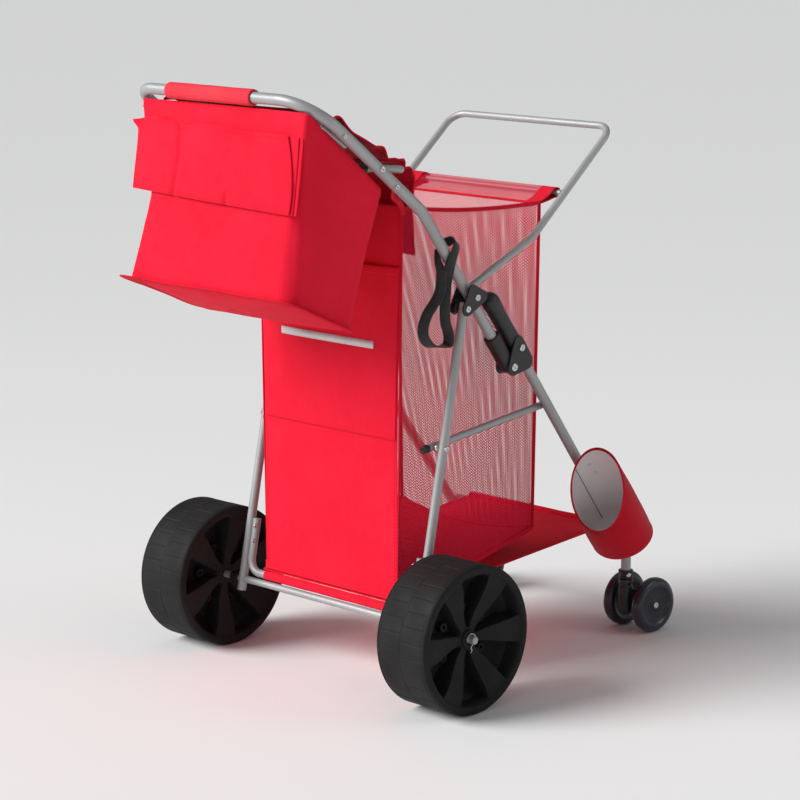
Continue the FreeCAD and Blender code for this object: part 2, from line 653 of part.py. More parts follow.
def caster_bodies():
    """The swivel head: a round post that carries the axle ahead of its own axis."""
    trail, axle_z = size("caster_trail"), size("caster_radius")
    top, post_foot, arm_width = size("swivel_top_z"), size("post_from_z"), size("arm_width")
    head_height = size("caster_head_height")
    outline = hull_outline([(0, 52, 14), (trail, axle_z, 13), (0, top - 22, 14)])
    for side, sign in SIDES:
        frame = caster_frame(sign)
        arm = plate(f"caster_arm_{side}", outline, 0, arm_width)
        arm.Placement = frame.multiply(FreeCAD.Placement(V(-arm_width / 2, 0, 0), FreeCAD.Rotation()))
        post = upright(f"caster_post_{side}", 0, 0, 0, top - post_foot, "dims.post_radius")
        post.Placement = frame.multiply(FreeCAD.Placement(V(0, 0, post_foot), FreeCAD.Rotation()))
        socket = "dims.stem_pin_radius + dims.running_gap"
        stem_hole = upright(f"caster_stem_hole_{side}", 0, 0, 0, top, socket)
        stem_foot = FreeCAD.Placement(V(0, 0, STEM_PIN_LOW - 1), FreeCAD.Rotation())
        stem_hole.Placement = frame.multiply(stem_foot)
        hole = along_local_x(f"caster_axle_hole_{side}", frame, trail, axle_z, -20, 20,
                             "dims.pin_radius + dims.running_gap")
        solid = fused(f"caster_solid_{side}", [arm, post])
        node(f"caster_body_{side}", cut(f"caster_body_{side}", solid, [stem_hole, hole]))
        reach = size("caster_gauge") / 2 + size("caster_width") / 2 - 3.5
        shaft = along_local_x(f"caster_shaft_{side}", frame, trail, axle_z, -reach, reach,
                              "dims.pin_radius")
        heads = [
            along_local_x(f"caster_head_{side}_{end}", frame, trail, axle_z,
                          x_from, x_from + head_height, "dims.caster_head_radius")
            for end, x_from in ((-1, -reach - head_height), (1, reach))
        ]
        node(f"caster_axle_{side}", fused(f"caster_axle_{side}", [shaft] + heads))


def caster_wheels():
    """Four narrow wheels, two to a caster, each with a round tyre and dished faces."""
    half, radius = size("caster_width") / 2, size("caster_radius")
    bore = size("pin_radius") + size("running_gap")
    boss = half - 3.7
    profile = [
        (-boss, bore), (boss, bore), (boss, 10), (half - 6, 14), (half - 5, radius - 14),
        (half, radius - 12), (half, radius), (-half, radius), (-half, radius - 12),
        (-half + 5, radius - 14), (-half + 6, 14), (-boss, 10),
    ]
    radii = [0, 0, 1, 1, 1, 3, 9, 9, 3, 1, 1, 1]
    for side, sign in SIDES:
        for place, end in (("inner", -sign), ("outer", sign)):
            name = f"caster_wheel_{side}_{place}"
            body = turned_body(name, rounded_loop(profile, radii))[0]
            local = V(end * size("caster_gauge") / 2, size("caster_trail"), radius)
            body.Placement = caster_frame(sign).multiply(FreeCAD.Placement(local, FreeCAD.Rotation()))
            node(name, body)


# ---------------------------------------------------------------- soft goods
def box_of(name, half_low, half_high, z_low, z_high, y_from, y_to):
    """A solid seen from behind as a trapezium, running from y_from to y_to."""
    body = doc.addObject("PartDesign::Body", name)
    corners = [(-half_low, z_low), (half_low, z_low), (half_high, z_high), (-half_high, z_high)]
    sketch = sketch_in(body, name + "_sketch", "XZ_Plane", polygon(corners))
    pad = body.newObject("PartDesign::Pad", name + "_pad")
    pad.Profile = sketch
    pad.Length = y_to - y_from
    body.Placement = FreeCAD.Placement(at(0, y_to, 0), FreeCAD.Rotation())
    return body


def open_bag(name, profile, half_low, half_high, wall):
    """A bag open at the top: a side-view outline crossed with a tapered rear view.

    The profile lists rear top, rear bottom, front bottom and front top.
    """
    ys = [p[0] for p in profile]
    zs = [p[1] for p in profile]
    span = (min(ys) - 5, max(ys) + 5)
    low, high = min(zs), max(zs)

    def solid(tag, inset, lift):
        rear_top, rear_low, front_low, front_top = profile
        inner = [
            (rear_top[0] + inset, rear_top[1] + lift), (rear_low[0] + inset, rear_low[1] + inset),
            (front_low[0] - inset, front_low[1] + inset), (front_top[0] - inset, front_top[1] + lift),
        ]
        side = plate(f"{name}_side_{tag}", polygon(inner), -half_high - 5, 2 * half_high + 10)
        slope = (half_high - half_low) / (high - low)
        trapezium = box_of(f"{name}_rear_{tag}", half_low - inset, half_high + slope * 40 - inset,
                           low, high + 40, *span)
        common = doc.addObject("Part::MultiCommon", f"{name}_{tag}")
        common.Shapes = [side, trapezium]
        return common

    return cut(name, solid("outer", 0, 0), [solid("inner", wall, 20)])


PLATFORM_REAR = (3, 152)
PLATFORM_FRONT = (549, 195.2)
BAG_PROFILE = [(8, 832), (8, 157.8), (352, 206), (350, 806)]
LID_LINE = [
    (-206, 1003), (-168, 996), (-128, 977), (-60, 939), (-25, 918), (2, 907), (21, 895),
    (33, 868), (37.8, 838),
]
APRON_LINE = [(33, 868), (43, 805), (48, 746)]
TOTE_PROFILE = [(-234, 1000), (-269, 705), (-127, 642), (-67, 865)]


def ribbon(name, line, half, thickness):
    """Cloth of one thickness that follows a line in the side view, across the whole width."""
    upper, lower = [], []
    for i, (y, z) in enumerate(line):
        before, after = line[max(i - 1, 0)], line[min(i + 1, len(line) - 1)]
        run = hypot(after[0] - before[0], after[1] - before[1])
        normal = (-(after[1] - before[1]) / run, (after[0] - before[0]) / run)
        upper.append((y + normal[0] * thickness / 2, z + normal[1] * thickness / 2))
        lower.append((y - normal[0] * thickness / 2, z - normal[1] * thickness / 2))
    return plate(name, polygon(lower + upper[::-1]), -half, 2 * half)


def soft_goods():
    cloth = size("cloth")
    low, high, tote_half = size("bag_half_bottom"), size("bag_half_top"), size("tote_half")
    node("main_bag", open_bag("main_bag", BAG_PROFILE, low, high, cloth))
    tote = open_bag("tote_cloth", TOTE_PROFILE, tote_half, tote_half, cloth)
    bar_room = rear_bar_tube("tote_bar_room", "bar_room_radius")
    node("tote", cut("tote", tote, [bar_room]))
    rear_top, rear_low = TOTE_PROFILE[:2]
    shares = (size("pocket_top_share"), size("pocket_bottom_share"))
    wall_line = [between(rear_top, rear_low, share) for share in shares]
    pocket_line = [(y - size("pocket_off"), z) for y, z in wall_line]
    pocket_half = tote_half - size("pocket_side_gap")
    node("tote_pocket", ribbon("tote_pocket", pocket_line, pocket_half, cloth))
    cover = ribbon("lid_cover", LID_LINE, size("lid_half"), cloth)
    apron = ribbon("lid_apron", APRON_LINE, size("apron_half"), cloth)
    node("lid", fused("lid", [cover, apron]))
    node("platform", ribbon("platform", [PLATFORM_REAR, PLATFORM_FRONT], size("platform_half"), cloth))


def bag_tabs():
    """A short strap from each main tube's inner face to the bag's upper rear corner."""
    high = at(191.3, -40, 860)
    low = at(173.5, 5, 833)
    tab = doc.addObject("Part::Box", "bag_tab")
    tab.Length = (low - high).Length
    tab.Width = size("tab_width")
    tab.Height = size("tab_thick")
    tab.Placement = FreeCAD.Placement(high, FreeCAD.Rotation(low - high, V(0, 1, 0.3), V(0, 0, 1), "XYZ"))
    both_sides("bag_tab", tab)


def hanging_strap():
    """A webbing band round the right main tube, with a loop that hangs from it."""
    x = size("rail_x")
    spot = on_line_at(KNEE, FOLD, y=75)
    ends = [at(x, *beside(spot, s, 0)) for s in (-10, 10)]
    band = straight_tube("strap_band", *ends, "rail_radius")
    band.setExpression("Radius", "dims.rail_radius + dims.strap_band_thick")
    corners = [(71, 735, 4), (25, 630, 14), (64, 630, 14)]
    web, wide = size("strap_web"), size("strap_width")
    loop = plate("strap_loop", hull_outline(corners), x - wide / 2, wide)
    hollow = hull_outline([(y, z, r - web) for y, z, r in corners])
    opening = plate("strap_opening", hollow, x - wide / 2 - 1, wide + 2)
    clear = straight_tube("strap_clear", at(x, *KNEE), at(x, *FOLD), "rail_radius")
    clear.setExpression("Radius", "dims.rail_radius + 0.4")
    whole = fused("strap_whole", [band, cut("strap_ring", loop, [opening])])
    node("hanging_strap", cut("hanging_strap", whole, [clear]))


def cup_holder():
    """A round insulated pouch beside the right front leg, parallel to it, open to the rear."""
    x = size("rail_x") + size("front_leg_radius") + 1 + size("cup_half_wide")
    wide, deep, wall = size("cup_half_wide"), size("cup_half_deep"), size("cup_wall")
    above, below = size("cup_above"), size("cup_below")
    centre = beside(FOLD, size("cup_along"), size("cup_off"))
    axis = V(0, *ALONG)
    across = V(0, *OUT)

    def barrel(tag, a, b, start, end):
        foot = at(x, *beside(centre, start, 0))
        ring = Part.Ellipse(foot + V(a, 0, 0), foot + across * b, foot)
        face = Part.Face(Part.Wire(ring.toShape()))
        obj = doc.addObject("Part::Feature", f"cup_{tag}")
        obj.Shape = face.extrude(axis * (end - start))
        return obj

    outer = barrel("outer", wide, deep, -above, below)
    inner = barrel("inner", wide - wall, deep - wall, -above - 10, below - wall)
    mouth = doc.addObject("Part::Box", "cup_mouth")
    mouth.Length = 400
    mouth.Width = 400
    mouth.Height = 300
    tilt = FreeCAD.Rotation(V(1, 0, 0), size("cup_mouth_tilt"))
    mouth.Placement = FreeCAD.Placement(at(x, *centre), tilt).multiply(
        FreeCAD.Placement(V(-200, -200, 0), FreeCAD.Rotation())
    )
    node("cup_holder", cut("cup_holder", outer, [inner, mouth]))


main_tube()
hand_grip()
brackets()
fold_sleeves()
leg_housings()
front_legs()
stem_collars()
rear_legs()
lower_bar()
hub_spacers_and_clips()
braces()
front_hoop()
tote_bars()
rear_wheels()
caster_bodies()
caster_wheels()
soft_goods()
bag_tabs()
hanging_strap()
cup_holder()
doc.recompute()

broken = [o.Name for o in doc.Objects if "Invalid" in o.State or "Error" in o.State]
if broken:
    raise RuntimeError(f"objects that failed: {broken}")
os.makedirs("parts", exist_ok=True)
for name, obj in sorted(nodes.items()):
    shape = obj.Shape
    if shape.isNull() or not shape.isValid() or shape.Volume <= 0:
        raise RuntimeError(f"{name} has no valid shape")
    shape.exportStep(f"parts/{name}.step")
print(len(nodes), "sub-parts written")
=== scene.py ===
import json
import math

import bpy
import numpy as np
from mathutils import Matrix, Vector, noise


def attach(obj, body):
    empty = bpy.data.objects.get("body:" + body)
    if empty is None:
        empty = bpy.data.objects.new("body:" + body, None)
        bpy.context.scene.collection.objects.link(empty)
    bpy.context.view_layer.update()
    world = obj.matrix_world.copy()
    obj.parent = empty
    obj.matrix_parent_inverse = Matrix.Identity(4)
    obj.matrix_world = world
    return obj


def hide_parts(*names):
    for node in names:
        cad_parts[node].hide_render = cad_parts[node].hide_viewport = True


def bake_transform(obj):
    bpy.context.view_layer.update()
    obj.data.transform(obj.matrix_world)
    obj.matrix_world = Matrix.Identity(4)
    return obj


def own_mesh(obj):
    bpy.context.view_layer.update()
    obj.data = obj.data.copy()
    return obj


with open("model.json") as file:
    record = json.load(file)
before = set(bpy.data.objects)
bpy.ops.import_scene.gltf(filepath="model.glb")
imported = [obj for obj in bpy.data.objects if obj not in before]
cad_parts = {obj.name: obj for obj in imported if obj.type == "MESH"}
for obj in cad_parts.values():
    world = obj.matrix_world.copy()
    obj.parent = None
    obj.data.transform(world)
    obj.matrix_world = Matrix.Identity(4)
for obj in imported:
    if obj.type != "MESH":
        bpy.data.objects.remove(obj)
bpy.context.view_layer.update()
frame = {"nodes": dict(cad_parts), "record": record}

# Everything below is in the cart's own millimetres, measured from the floor under the rear
# axle (X right, Y forward, Z up), and P() turns such a point into the frame's metres.
AXLE_Y = -187.8
SIDES = (("right", 1), ("left", -1))
scene = bpy.context.scene


def P(x, y, z):
    return Vector((x / 1000, (y + AXLE_Y) / 1000, z / 1000))


# ------------------------------------------------------------------ camera, light, floor
def camera_and_light():
    azimuth, elevation = math.radians(44.3153), math.radians(11.3352)
    data = bpy.data.cameras.new("camera")
    data.lens = 121.96
    data.sensor_width = 36
    data.clip_end = 200
    camera = bpy.data.objects.new("camera", data)
    scene.collection.objects.link(camera)
    back = Vector((math.sin(azimuth) * math.cos(elevation),
                   -math.cos(azimuth) * math.cos(elevation), math.sin(elevation)))
    camera.location = P(3268.804, -3168.538, 1395.648)
    camera.rotation_mode = "QUATERNION"
    camera.rotation_quaternion = (-back).to_track_quat("-Z", "Y")
    scene.camera = camera

    def light(name, kind, place, target, strength, **values):
        data = bpy.data.lights.new(name, kind)
        data.energy = strength
        for key, value in values.items():
            setattr(data, key, value)
        obj = bpy.data.objects.new(name, data)
        obj.location = place
        obj.rotation_mode = "QUATERNION"
        obj.rotation_quaternion = (Vector(place) - Vector(target)).to_track_quat("Z", "Y")
        scene.collection.objects.link(obj)

    light("key", "SUN", (-2.6, -4.2, 3.4), (0, 0, 0.4), 2.85, angle=math.radians(34))
    light("soft", "AREA", (-1.6, -3.6, 3.2), (0, 0, 0.4), 42, shape="DISK", size=2.4)
    light("rim", "AREA", (4.2, 2.2, 2.6), (0, 0, 0.5), 26, shape="DISK", size=2.5)
    world = bpy.data.worlds.new("world")
    scene.world = world
    world.use_nodes = True
    background = world.node_tree.nodes["Background"]
    background.inputs["Color"].default_value = (0.93, 0.94, 0.95, 1)
    background.inputs["Strength"].default_value = 0.26
    bpy.ops.mesh.primitive_plane_add(size=120, location=(0, 0, 0))
    floor = bpy.context.object
    floor.name = "floor"
    material = bpy.data.materials.new("floor")
    material.use_nodes = True
    shader = material.node_tree.nodes["Principled BSDF"]
    shader.inputs["Base Color"].default_value = (0.94, 0.94, 0.94, 1)
    shader.inputs["Roughness"].default_value = 0.85
    floor.data.materials.append(material)


scene.view_settings.view_transform = "Standard"
camera_and_light()


# ------------------------------------------------------------------ materials
class Nodes:
    """A small builder for one material's node tree."""

    def __init__(self, name):
        self.material = bpy.data.materials.new(name)
        self.material.use_nodes = True
        self.tree = self.material.node_tree
        self.shader = self.tree.nodes["Principled BSDF"]
        self.place = self.add("ShaderNodeTexCoord").outputs["Object"]

    def add(self, kind, **values):
        node = self.tree.nodes.new(kind)
        for key, value in values.items():
            if key in node.inputs:
                node.inputs[key].default_value = value
            else:
                setattr(node, key, value)
        return node

    def link(self, source, target):
        self.tree.links.new(source, target)

    def noise(self, scale, detail=3.0, stretch=None, rough=0.5):
        texture = self.add("ShaderNodeTexNoise", Scale=scale, Detail=detail, Roughness=rough)
        source = self.place
        if stretch:
            mapping = self.add("ShaderNodeMapping", Scale=stretch)
            self.link(source, mapping.inputs["Vector"])
            source = mapping.outputs["Vector"]
        self.link(source, texture.inputs["Vector"])
        return texture.outputs["Fac"]

    def ramp(self, source, stops):
        ramp = self.add("ShaderNodeValToRGB")
        elements = ramp.color_ramp.elements
        while len(elements) < len(stops):
            elements.new(0.5)
        for element, (position, colour) in zip(elements, stops):
            element.position = position
            element.color = (*colour, 1) if len(colour) == 3 else colour
        self.link(source, ramp.inputs["Fac"])
        return ramp.outputs["Color"]

    def grey(self, source, low, high, start=0.3, end=0.7):
        span = self.add("ShaderNodeMapRange")
        for key, value in (("From Min", start), ("From Max", end), ("To Min", low), ("To Max", high)):
            span.inputs[key].default_value = value
        self.link(source, span.inputs["Value"])
        return span.outputs["Result"]

    def maths(self, operation, a, b):
        node = self.add("ShaderNodeMath", operation=operation)
        for socket, value in zip(node.inputs, (a, b)):
            if isinstance(value, (int, float)):
                socket.default_value = value
            else:
                self.link(value, socket)
        return node.outputs["Value"]

    def wave(self, scale, direction, distort=0.4):
        texture = self.add("ShaderNodeTexWave", Scale=scale, Distortion=distort)
        texture.bands_direction = direction
        texture.inputs["Detail Scale"].default_value = 2
        self.link(self.place, texture.inputs["Vector"])
        return texture.outputs["Fac"]

    def bump(self, *layers):
        """Each layer is (height, strength, distance in metres)."""
        normal = None
        for height, strength, distance in layers:
            node = self.add("ShaderNodeBump", Strength=strength, Distance=distance)
            self.link(height, node.inputs["Height"])
            if normal is not None:
                self.link(normal, node.inputs["Normal"])
            normal = node.outputs["Normal"]
        self.link(normal, self.shader.inputs["Normal"])

    def set(self, **values):
        for key, value in values.items():
            socket = self.shader.inputs[key.replace("_", " ")]
            if hasattr(value, "is_linked"):
                self.link(value, socket)
            else:
                socket.default_value = value
        return self.material


def fabric(name, low, high, weave=1500.0, crease=0.6, rough=0.78, sheen=0.05):
    """Woven cloth: two crossed thread waves, soft creases and a slow change of shade."""
    n = Nodes(name)
    colour = n.ramp(n.noise(9, 4), [(0.3, low), (0.7, high)])
    threads = n.maths("MULTIPLY", n.wave(weave, "X"), n.wave(weave, "Z"))
    across = n.maths("ADD", threads, n.wave(weave, "Y"))
    n.bump((n.noise(16, 3), crease, 0.004), (n.noise(70, 4), 0.35, 0.0012), (across, 0.35, 0.0003))
    roughness = n.grey(n.noise(40), rough - 0.07, rough + 0.07)
    return n.set(Base_Color=colour, Roughness=roughness, Sheen_Weight=sheen, Sheen_Roughness=0.4,
                 Specular_IOR_Level=0.15)


def tube_metal(name, low, high, metallic=0.35, rough=0.5):
    """Silver powder coat: a fine orange peel, faint streaks and a slow change of tone."""
    n = Nodes(name)
    colour = n.ramp(n.noise(5, 5), [(0.3, low), (0.7, high)])
    n.bump((n.noise(420, 3), 0.12, 0.0006), (n.noise(35, 3), 0.1, 0.001))
    roughness = n.grey(n.noise(60, 4, (1, 1, 0.2)), rough - 0.07, rough + 0.08)
    return n.set(Base_Color=colour, Roughness=roughness, Metallic=metallic, Coat_Weight=0.15,
                 Coat_Roughness=0.3)


def plastic(name, low, high, rough, grain=900.0, coat=0.0, specular=0.5):
    """Moulded plastic with a fine spark-eroded grain and scuffed patches."""
    n = Nodes(name)
    colour = n.ramp(n.noise(14, 5), [(0.3, low), (0.7, high)])
    n.bump((n.noise(grain, 2), 0.18, 0.0004), (n.noise(45, 3), 0.12, 0.0012))
    roughness = n.grey(n.noise(25, 5), rough - 0.08, rough + 0.1)
    return n.set(Base_Color=colour, Roughness=roughness, Coat_Weight=coat, Coat_Roughness=0.15,
                 Specular_IOR_Level=specular)


def zinc(name):
    n = Nodes(name)
    colour = n.ramp(n.noise(300, 3), [(0.3, (0.55, 0.55, 0.56)), (0.7, (0.8, 0.8, 0.8))])
    n.bump((n.noise(500, 2), 0.2, 0.0003),)
    return n.set(Base_Color=colour, Roughness=n.grey(n.noise(90), 0.2, 0.38), Metallic=1.0)


def webbing(name, low, high):
    n = Nodes(name)
    colour = n.ramp(n.wave(260, "DIAGONAL", 0.6), [(0.2, low), (0.8, high)])
    n.bump((n.wave(260, "DIAGONAL", 0.6), 0.5, 0.0005), (n.noise(40), 0.3, 0.001))
    return n.set(Base_Color=colour, Roughness=n.grey(n.noise(60), 0.62, 0.82), Sheen_Weight=0.25)


def speckled(name):
    """The caster hubs: dark plastic with pale specks."""
    n = Nodes(name)
    cells = n.add("ShaderNodeTexVoronoi", Scale=420.0)
    n.link(n.place, cells.inputs["Vector"])
    dots = n.ramp(cells.outputs["Distance"], [(0.1, (0.16, 0.165, 0.18)), (0.24, (0.02, 0.021, 0.028))])
    n.bump((n.noise(500, 2), 0.2, 0.0003),)
    return n.set(Base_Color=dots, Roughness=n.grey(n.noise(80), 0.42, 0.6))


RED = fabric("red_polyester", (0.80, 0.006, 0.030), (0.88, 0.010, 0.040))
RED_TRIM = fabric("red_binding", (0.66, 0.004, 0.022), (0.76, 0.008, 0.032), 900.0, 0.3)
RED_NET = fabric("red_net", (0.74, 0.006, 0.045), (0.84, 0.008, 0.055), 1800.0, 0.1, 0.6, 0.0)
RED_GRIP = fabric("red_grip_foam", (0.84, 0.035, 0.06), (0.90, 0.06, 0.085), 1200.0, 0.5, 0.8)
LINING = fabric("pale_lining", (0.90, 0.86, 0.87), (0.95, 0.92, 0.925), 900.0, 0.25, 0.55, 0.1)
THREAD = fabric("red_thread", (0.50, 0.003, 0.015), (0.62, 0.008, 0.025), 3000.0, 0.1, 0.6)
TUBE = tube_metal("silver_tube", (0.36, 0.365, 0.37), (0.44, 0.445, 0.45))
BLACK = plastic("black_plastic", (0.012, 0.012, 0.013), (0.022, 0.022, 0.024), 0.42)
WHEEL = plastic("wheel_plastic", (0.0105, 0.0102, 0.0105), (0.0165, 0.016, 0.0162), 0.66, 600.0, 0.0, 0.2)
TYRE = plastic("caster_tyre", (0.012, 0.013, 0.026), (0.020, 0.021, 0.038), 0.26, 700.0, 0.3)
HUB = speckled("caster_hub")
ZINC = zinc("zinc")
STRAP = webbing("black_webbing", (0.010, 0.010, 0.010), (0.024, 0.023, 0.023))
# The red polyester again, with painted shade: a darker copy whose colour holds the shade on the lid and the
# cup pouch shell.
RED_PAINTED_SHADE = fabric("red_painted_shade", (0.54, 0.003, 0.017), (0.63, 0.006, 0.026), 1500.0, 0.6, 0.8, 0.2)
LINING_SEAM = fabric("lining_seam", (0.22, 0.17, 0.18), (0.3, 0.25, 0.26), 900.0, 0.2, 0.6, 0.1)
REFLECTOR = plastic("reflector", (0.66, 0.66, 0.67), (0.80, 0.80, 0.81), 0.32, 300.0)
EYELET = plastic("white_eyelet", (0.72, 0.70, 0.70), (0.82, 0.80, 0.80), 0.35)


# ------------------------------------------------------------------ mesh helpers
def mesh_object(name, points, faces, material, body, slot, smooth=True):
    """A mesh from millimetre points, riding on a body."""
    points = np.asarray(points, float).copy()
    points[:, 1] += AXLE_Y
    mesh = bpy.data.meshes.new(name)
    mesh.from_pydata((points / 1000).tolist(), [], [list(map(int, f)) for f in faces])
    mesh.validate()
    mesh.polygons.foreach_set("use_smooth", [smooth] * len(mesh.polygons))
    for m in material if isinstance(material, (list, tuple)) else [material]:
        mesh.materials.append(m)
    obj = bpy.data.objects.new(name, mesh)
    scene.collection.objects.link(obj)
    if body:
        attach(obj, body)
    return obj


def grid_faces(nu, nv, wrap_u=False, wrap_v=False, base=0):
    """Quads of a grid whose point (i, j) is number i * nv + j."""
    faces = []
    for i in range(nu if wrap_u else nu - 1):
        for j in range(nv if wrap_v else nv - 1):
            a, b = i * nv + j, i * nv + (j + 1) % nv
            c, d = ((i + 1) % nu) * nv + (j + 1) % nv, ((i + 1) % nu) * nv + j
            faces.append((base + a, base + b, base + c, base + d))
    return faces


def modifier(obj, kind, **values):
    m = obj.modifiers.new(kind.lower(), kind)
    for key, value in values.items():
        setattr(m, key, value)
    return obj


def sheet(name, shape, nu, nv, material, body, slot, thick=1.2, smooth_levels=1):
    """Cloth: a grid of shape(u, v) points given some thickness."""
    points = [shape(i / (nu - 1), j / (nv - 1)) for i in range(nu) for j in range(nv)]
    obj = mesh_object(name, points, grid_faces(nu, nv), material, body, slot)
    modifier(obj, "SOLIDIFY", thickness=thick / 1000, offset=0)
    if smooth_levels:
        modifier(obj, "SUBSURF", levels=smooth_levels, render_levels=smooth_levels)
    return obj


def frames_along(points, closed=False):
    """Tangents and two side directions that turn as little as they can along a line."""
    points = np.asarray(points, float)
    if closed:
        tangents = np.roll(points, -1, 0) - np.roll(points, 1, 0)
    else:
        tangents = np.gradient(points, axis=0)
    tangents /= np.linalg.norm(tangents, axis=1)[:, None]
    start = np.cross(tangents[0], (0.31, 0.17, 0.93))
    side = start / np.linalg.norm(start)
    sides = []
    for t in tangents:
        side = side - t * (side @ t)
        side = side / np.linalg.norm(side)
        sides.append(side)
    sides = np.array(sides)
    return tangents, sides, np.cross(tangents, sides)


def cord_mesh(points, radius, section=10, closed=False, flat=1.0):
    """Points and faces of a round or flattened cord along a line."""
    points = np.asarray(points, float)
    _, sides, ups = frames_along(points, closed)
    radii = np.broadcast_to(np.asarray(radius, float), (len(points),))
    angles = np.linspace(0, 2 * math.pi, section, endpoint=False)
    rings = (points[:, None, :] + radii[:, None, None] * (
        np.cos(angles)[None, :, None] * sides[:, None, :]
        + flat * np.sin(angles)[None, :, None] * ups[:, None, :]))
    faces = grid_faces(len(points), section, closed, True)
    if not closed:
        faces.append(tuple(range(section))[::-1])
        last = (len(points) - 1) * section
        faces.append(tuple(range(last, last + section)))
    return rings.reshape(-1, 3), faces


def merged(parts):
    """Several (points, faces) as one."""
    points, faces, base = [], [], 0
    for part_points, part_faces in parts:
        points.append(np.asarray(part_points, float))
        faces += [tuple(base + i for i in f) for f in part_faces]
        base += len(part_points)
    return np.concatenate(points), faces


def smooth_line(points, count, closed=False):
    """A Catmull-Rom line through the points."""
    p = np.asarray(points, float)
    n = len(p)
    if closed:
        index = lambda i: i % n
        spans = n
    else:
        index = lambda i: min(max(i, 0), n - 1)
        spans = n - 1
    out = []
    for k in range(count):
        t = k / (count if closed else count - 1) * spans
        i = min(int(t), spans - 1)
        f = t - i
        a, b, c, d = (p[index(i + s)] for s in (-1, 0, 1, 2))
        out.append(0.5 * ((2 * b) + (c - a) * f + (2 * a - 5 * b + 4 * c - d) * f ** 2
                          + (3 * b - a - 3 * c + d) * f ** 3))
    return np.array(out)


def turned(profile, segments, centre, axis, start=(0, 0, 1)):
    """Points and faces of a closed profile [(along, radius)] turned about an axis."""
    axis = np.asarray(axis, float) / np.linalg.norm(axis)
    if abs(axis @ np.asarray(start, float)) > 0.99:
        start = (1, 0, 0)
    side = np.cross(axis, start)
    side /= np.linalg.norm(side)
    up = np.cross(axis, side)
    angles = np.linspace(0, 2 * math.pi, segments, endpoint=False)
    profile = np.asarray(profile, float)
    ring = np.cos(angles)[:, None] * side + np.sin(angles)[:, None] * up
    points = (np.asarray(centre, float) + profile[:, 0][None, :, None] * axis
              + profile[:, 1][None, :, None] * ring[:, None, :])
    return points.reshape(-1, 3), grid_faces(segments, len(profile), True, True)


def rounded_profile(corners, radii, steps=4):
    """A closed flat outline with its corners rounded."""
    corners = [np.array(c, float) for c in corners]
    out = []
    for i, (corner, radius) in enumerate(zip(corners, radii)):
        before, after = corners[i - 1] - corner, corners[(i + 1) % len(corners)] - corner
        if not radius:
            out.append(corner)
            continue
        before, after = before / np.linalg.norm(before), after / np.linalg.norm(after)
        half = math.acos(max(-1, min(1, before @ after))) / 2
        reach = radius / math.tan(half)
        centre = corner + (before + after) / np.linalg.norm(before + after) * radius / math.sin(half)
        first, last = corner + before * reach, corner + after * reach
        for k in range(steps + 1):
            chord = first + (last - first) * k / steps - centre
            out.append(centre + chord / np.linalg.norm(chord) * radius)
    return np.array(out)


def extruded(outline, x_from, x_to):
    """Points and faces of a side-view outline [(y, z)] thickened along X."""
    n = len(outline)
    points = [(x, y, z) for x in (x_from, x_to) for y, z in outline]
    faces = [tuple(range(n))[::-1], tuple(range(n, 2 * n))]
    faces += [(i, (i + 1) % n, n + (i + 1) % n, n + i) for i in range(n)]
    return points, faces


def hull(circles, steps=10):
    """The outline drawn tight round circles (y, z, radius) listed counter-clockwise."""
    out = []
    count = len(circles)
    normals = []
    for i, (y, z, r) in enumerate(circles):
        ny, nz, nr = circles[(i + 1) % count]
        span = math.hypot(ny - y, nz - z)
        normals.append(math.atan2(nz - z, ny - y) - math.pi / 2
                       - math.atan2(nr - r, math.sqrt(span ** 2 - (nr - r) ** 2)))
    for i, (y, z, r) in enumerate(circles):
        start, turn = normals[i - 1], (normals[i] - normals[i - 1]) % (2 * math.pi)
        for k in range(steps + 1):
            a = start + turn * k / steps
            out.append((y + r * math.cos(a), z + r * math.sin(a)))
    return out


def bevelled(obj, width, segments=3, angle=40):
    modifier(obj, "BEVEL", width=width / 1000, segments=segments, limit_method="ANGLE",
             angle_limit=math.radians(angle), harden_normals=True)
    return obj


def wobble(x, y, z, size, seed=0.0):
    """Smooth noise from -1 to 1; size is its wavelength in millimetres."""
    return noise.noise(Vector((x / size + seed, y / size + seed * 1.7, z / size - seed)))


def lerp(a, b, t):
    return a + (b - a) * t


def bell(t):
    return math.sin(math.pi * min(max(t, 0.0), 1.0))


# ------------------------------------------------------------------ side-view geometry
FOLD = (229.0, 539.2)
KNEE = (15.4, 826.3)
HANDLE = (-234.4, 1019.4)
run = math.hypot(FOLD[0] - KNEE[0], FOLD[1] - KNEE[1])
ALONG = ((FOLD[0] - KNEE[0]) / run, (FOLD[1] - KNEE[1]) / run)
OUT = (-ALONG[1], ALONG[0])


def beside(start, along, out):
    return (start[0] + along * ALONG[0] + out * OUT[0], start[1] + along * ALONG[1] + out * OUT[1])


HOOP_PIVOT = beside(FOLD, -165.1, 0)
LEG_PIVOT = beside(HOOP_PIVOT, 0, -28.6)
TOTE_PIVOT = (-85.0, 903.9)
BRACE_REAR = (60.1, 422.0)
BRACE_FRONT = beside(FOLD, 132, 34)
AXLE_Z = 127.0
RAIL_X = 209.8


# ------------------------------------------------------------------ carried-over CAD nodes
def finish_cad_nodes():
    """Tubes and small metal keep their CAD shape and get a finished material."""
    by_slot = {
        "satin_tube": TUBE, "black_plastic": BLACK, "zinc_rivet": ZINC, "red_grip": RED_GRIP,
        "grip_foam": RED_GRIP, "red_cloth": RED, "black_webbing": STRAP, "wheel_plastic": WHEEL,
        "caster_tyre": TYRE,
    }
    slots = {s["node"]: s["material_slot"] for s in frame["record"]["subparts"]}
    for name, obj in frame["nodes"].items():
        obj.data.materials.clear()
        obj.data.materials.append(by_slot[slots[name]])
        obj.data.shade_smooth()
        obj.modifiers.new("edges", "WEIGHTED_NORMAL")


finish_cad_nodes()


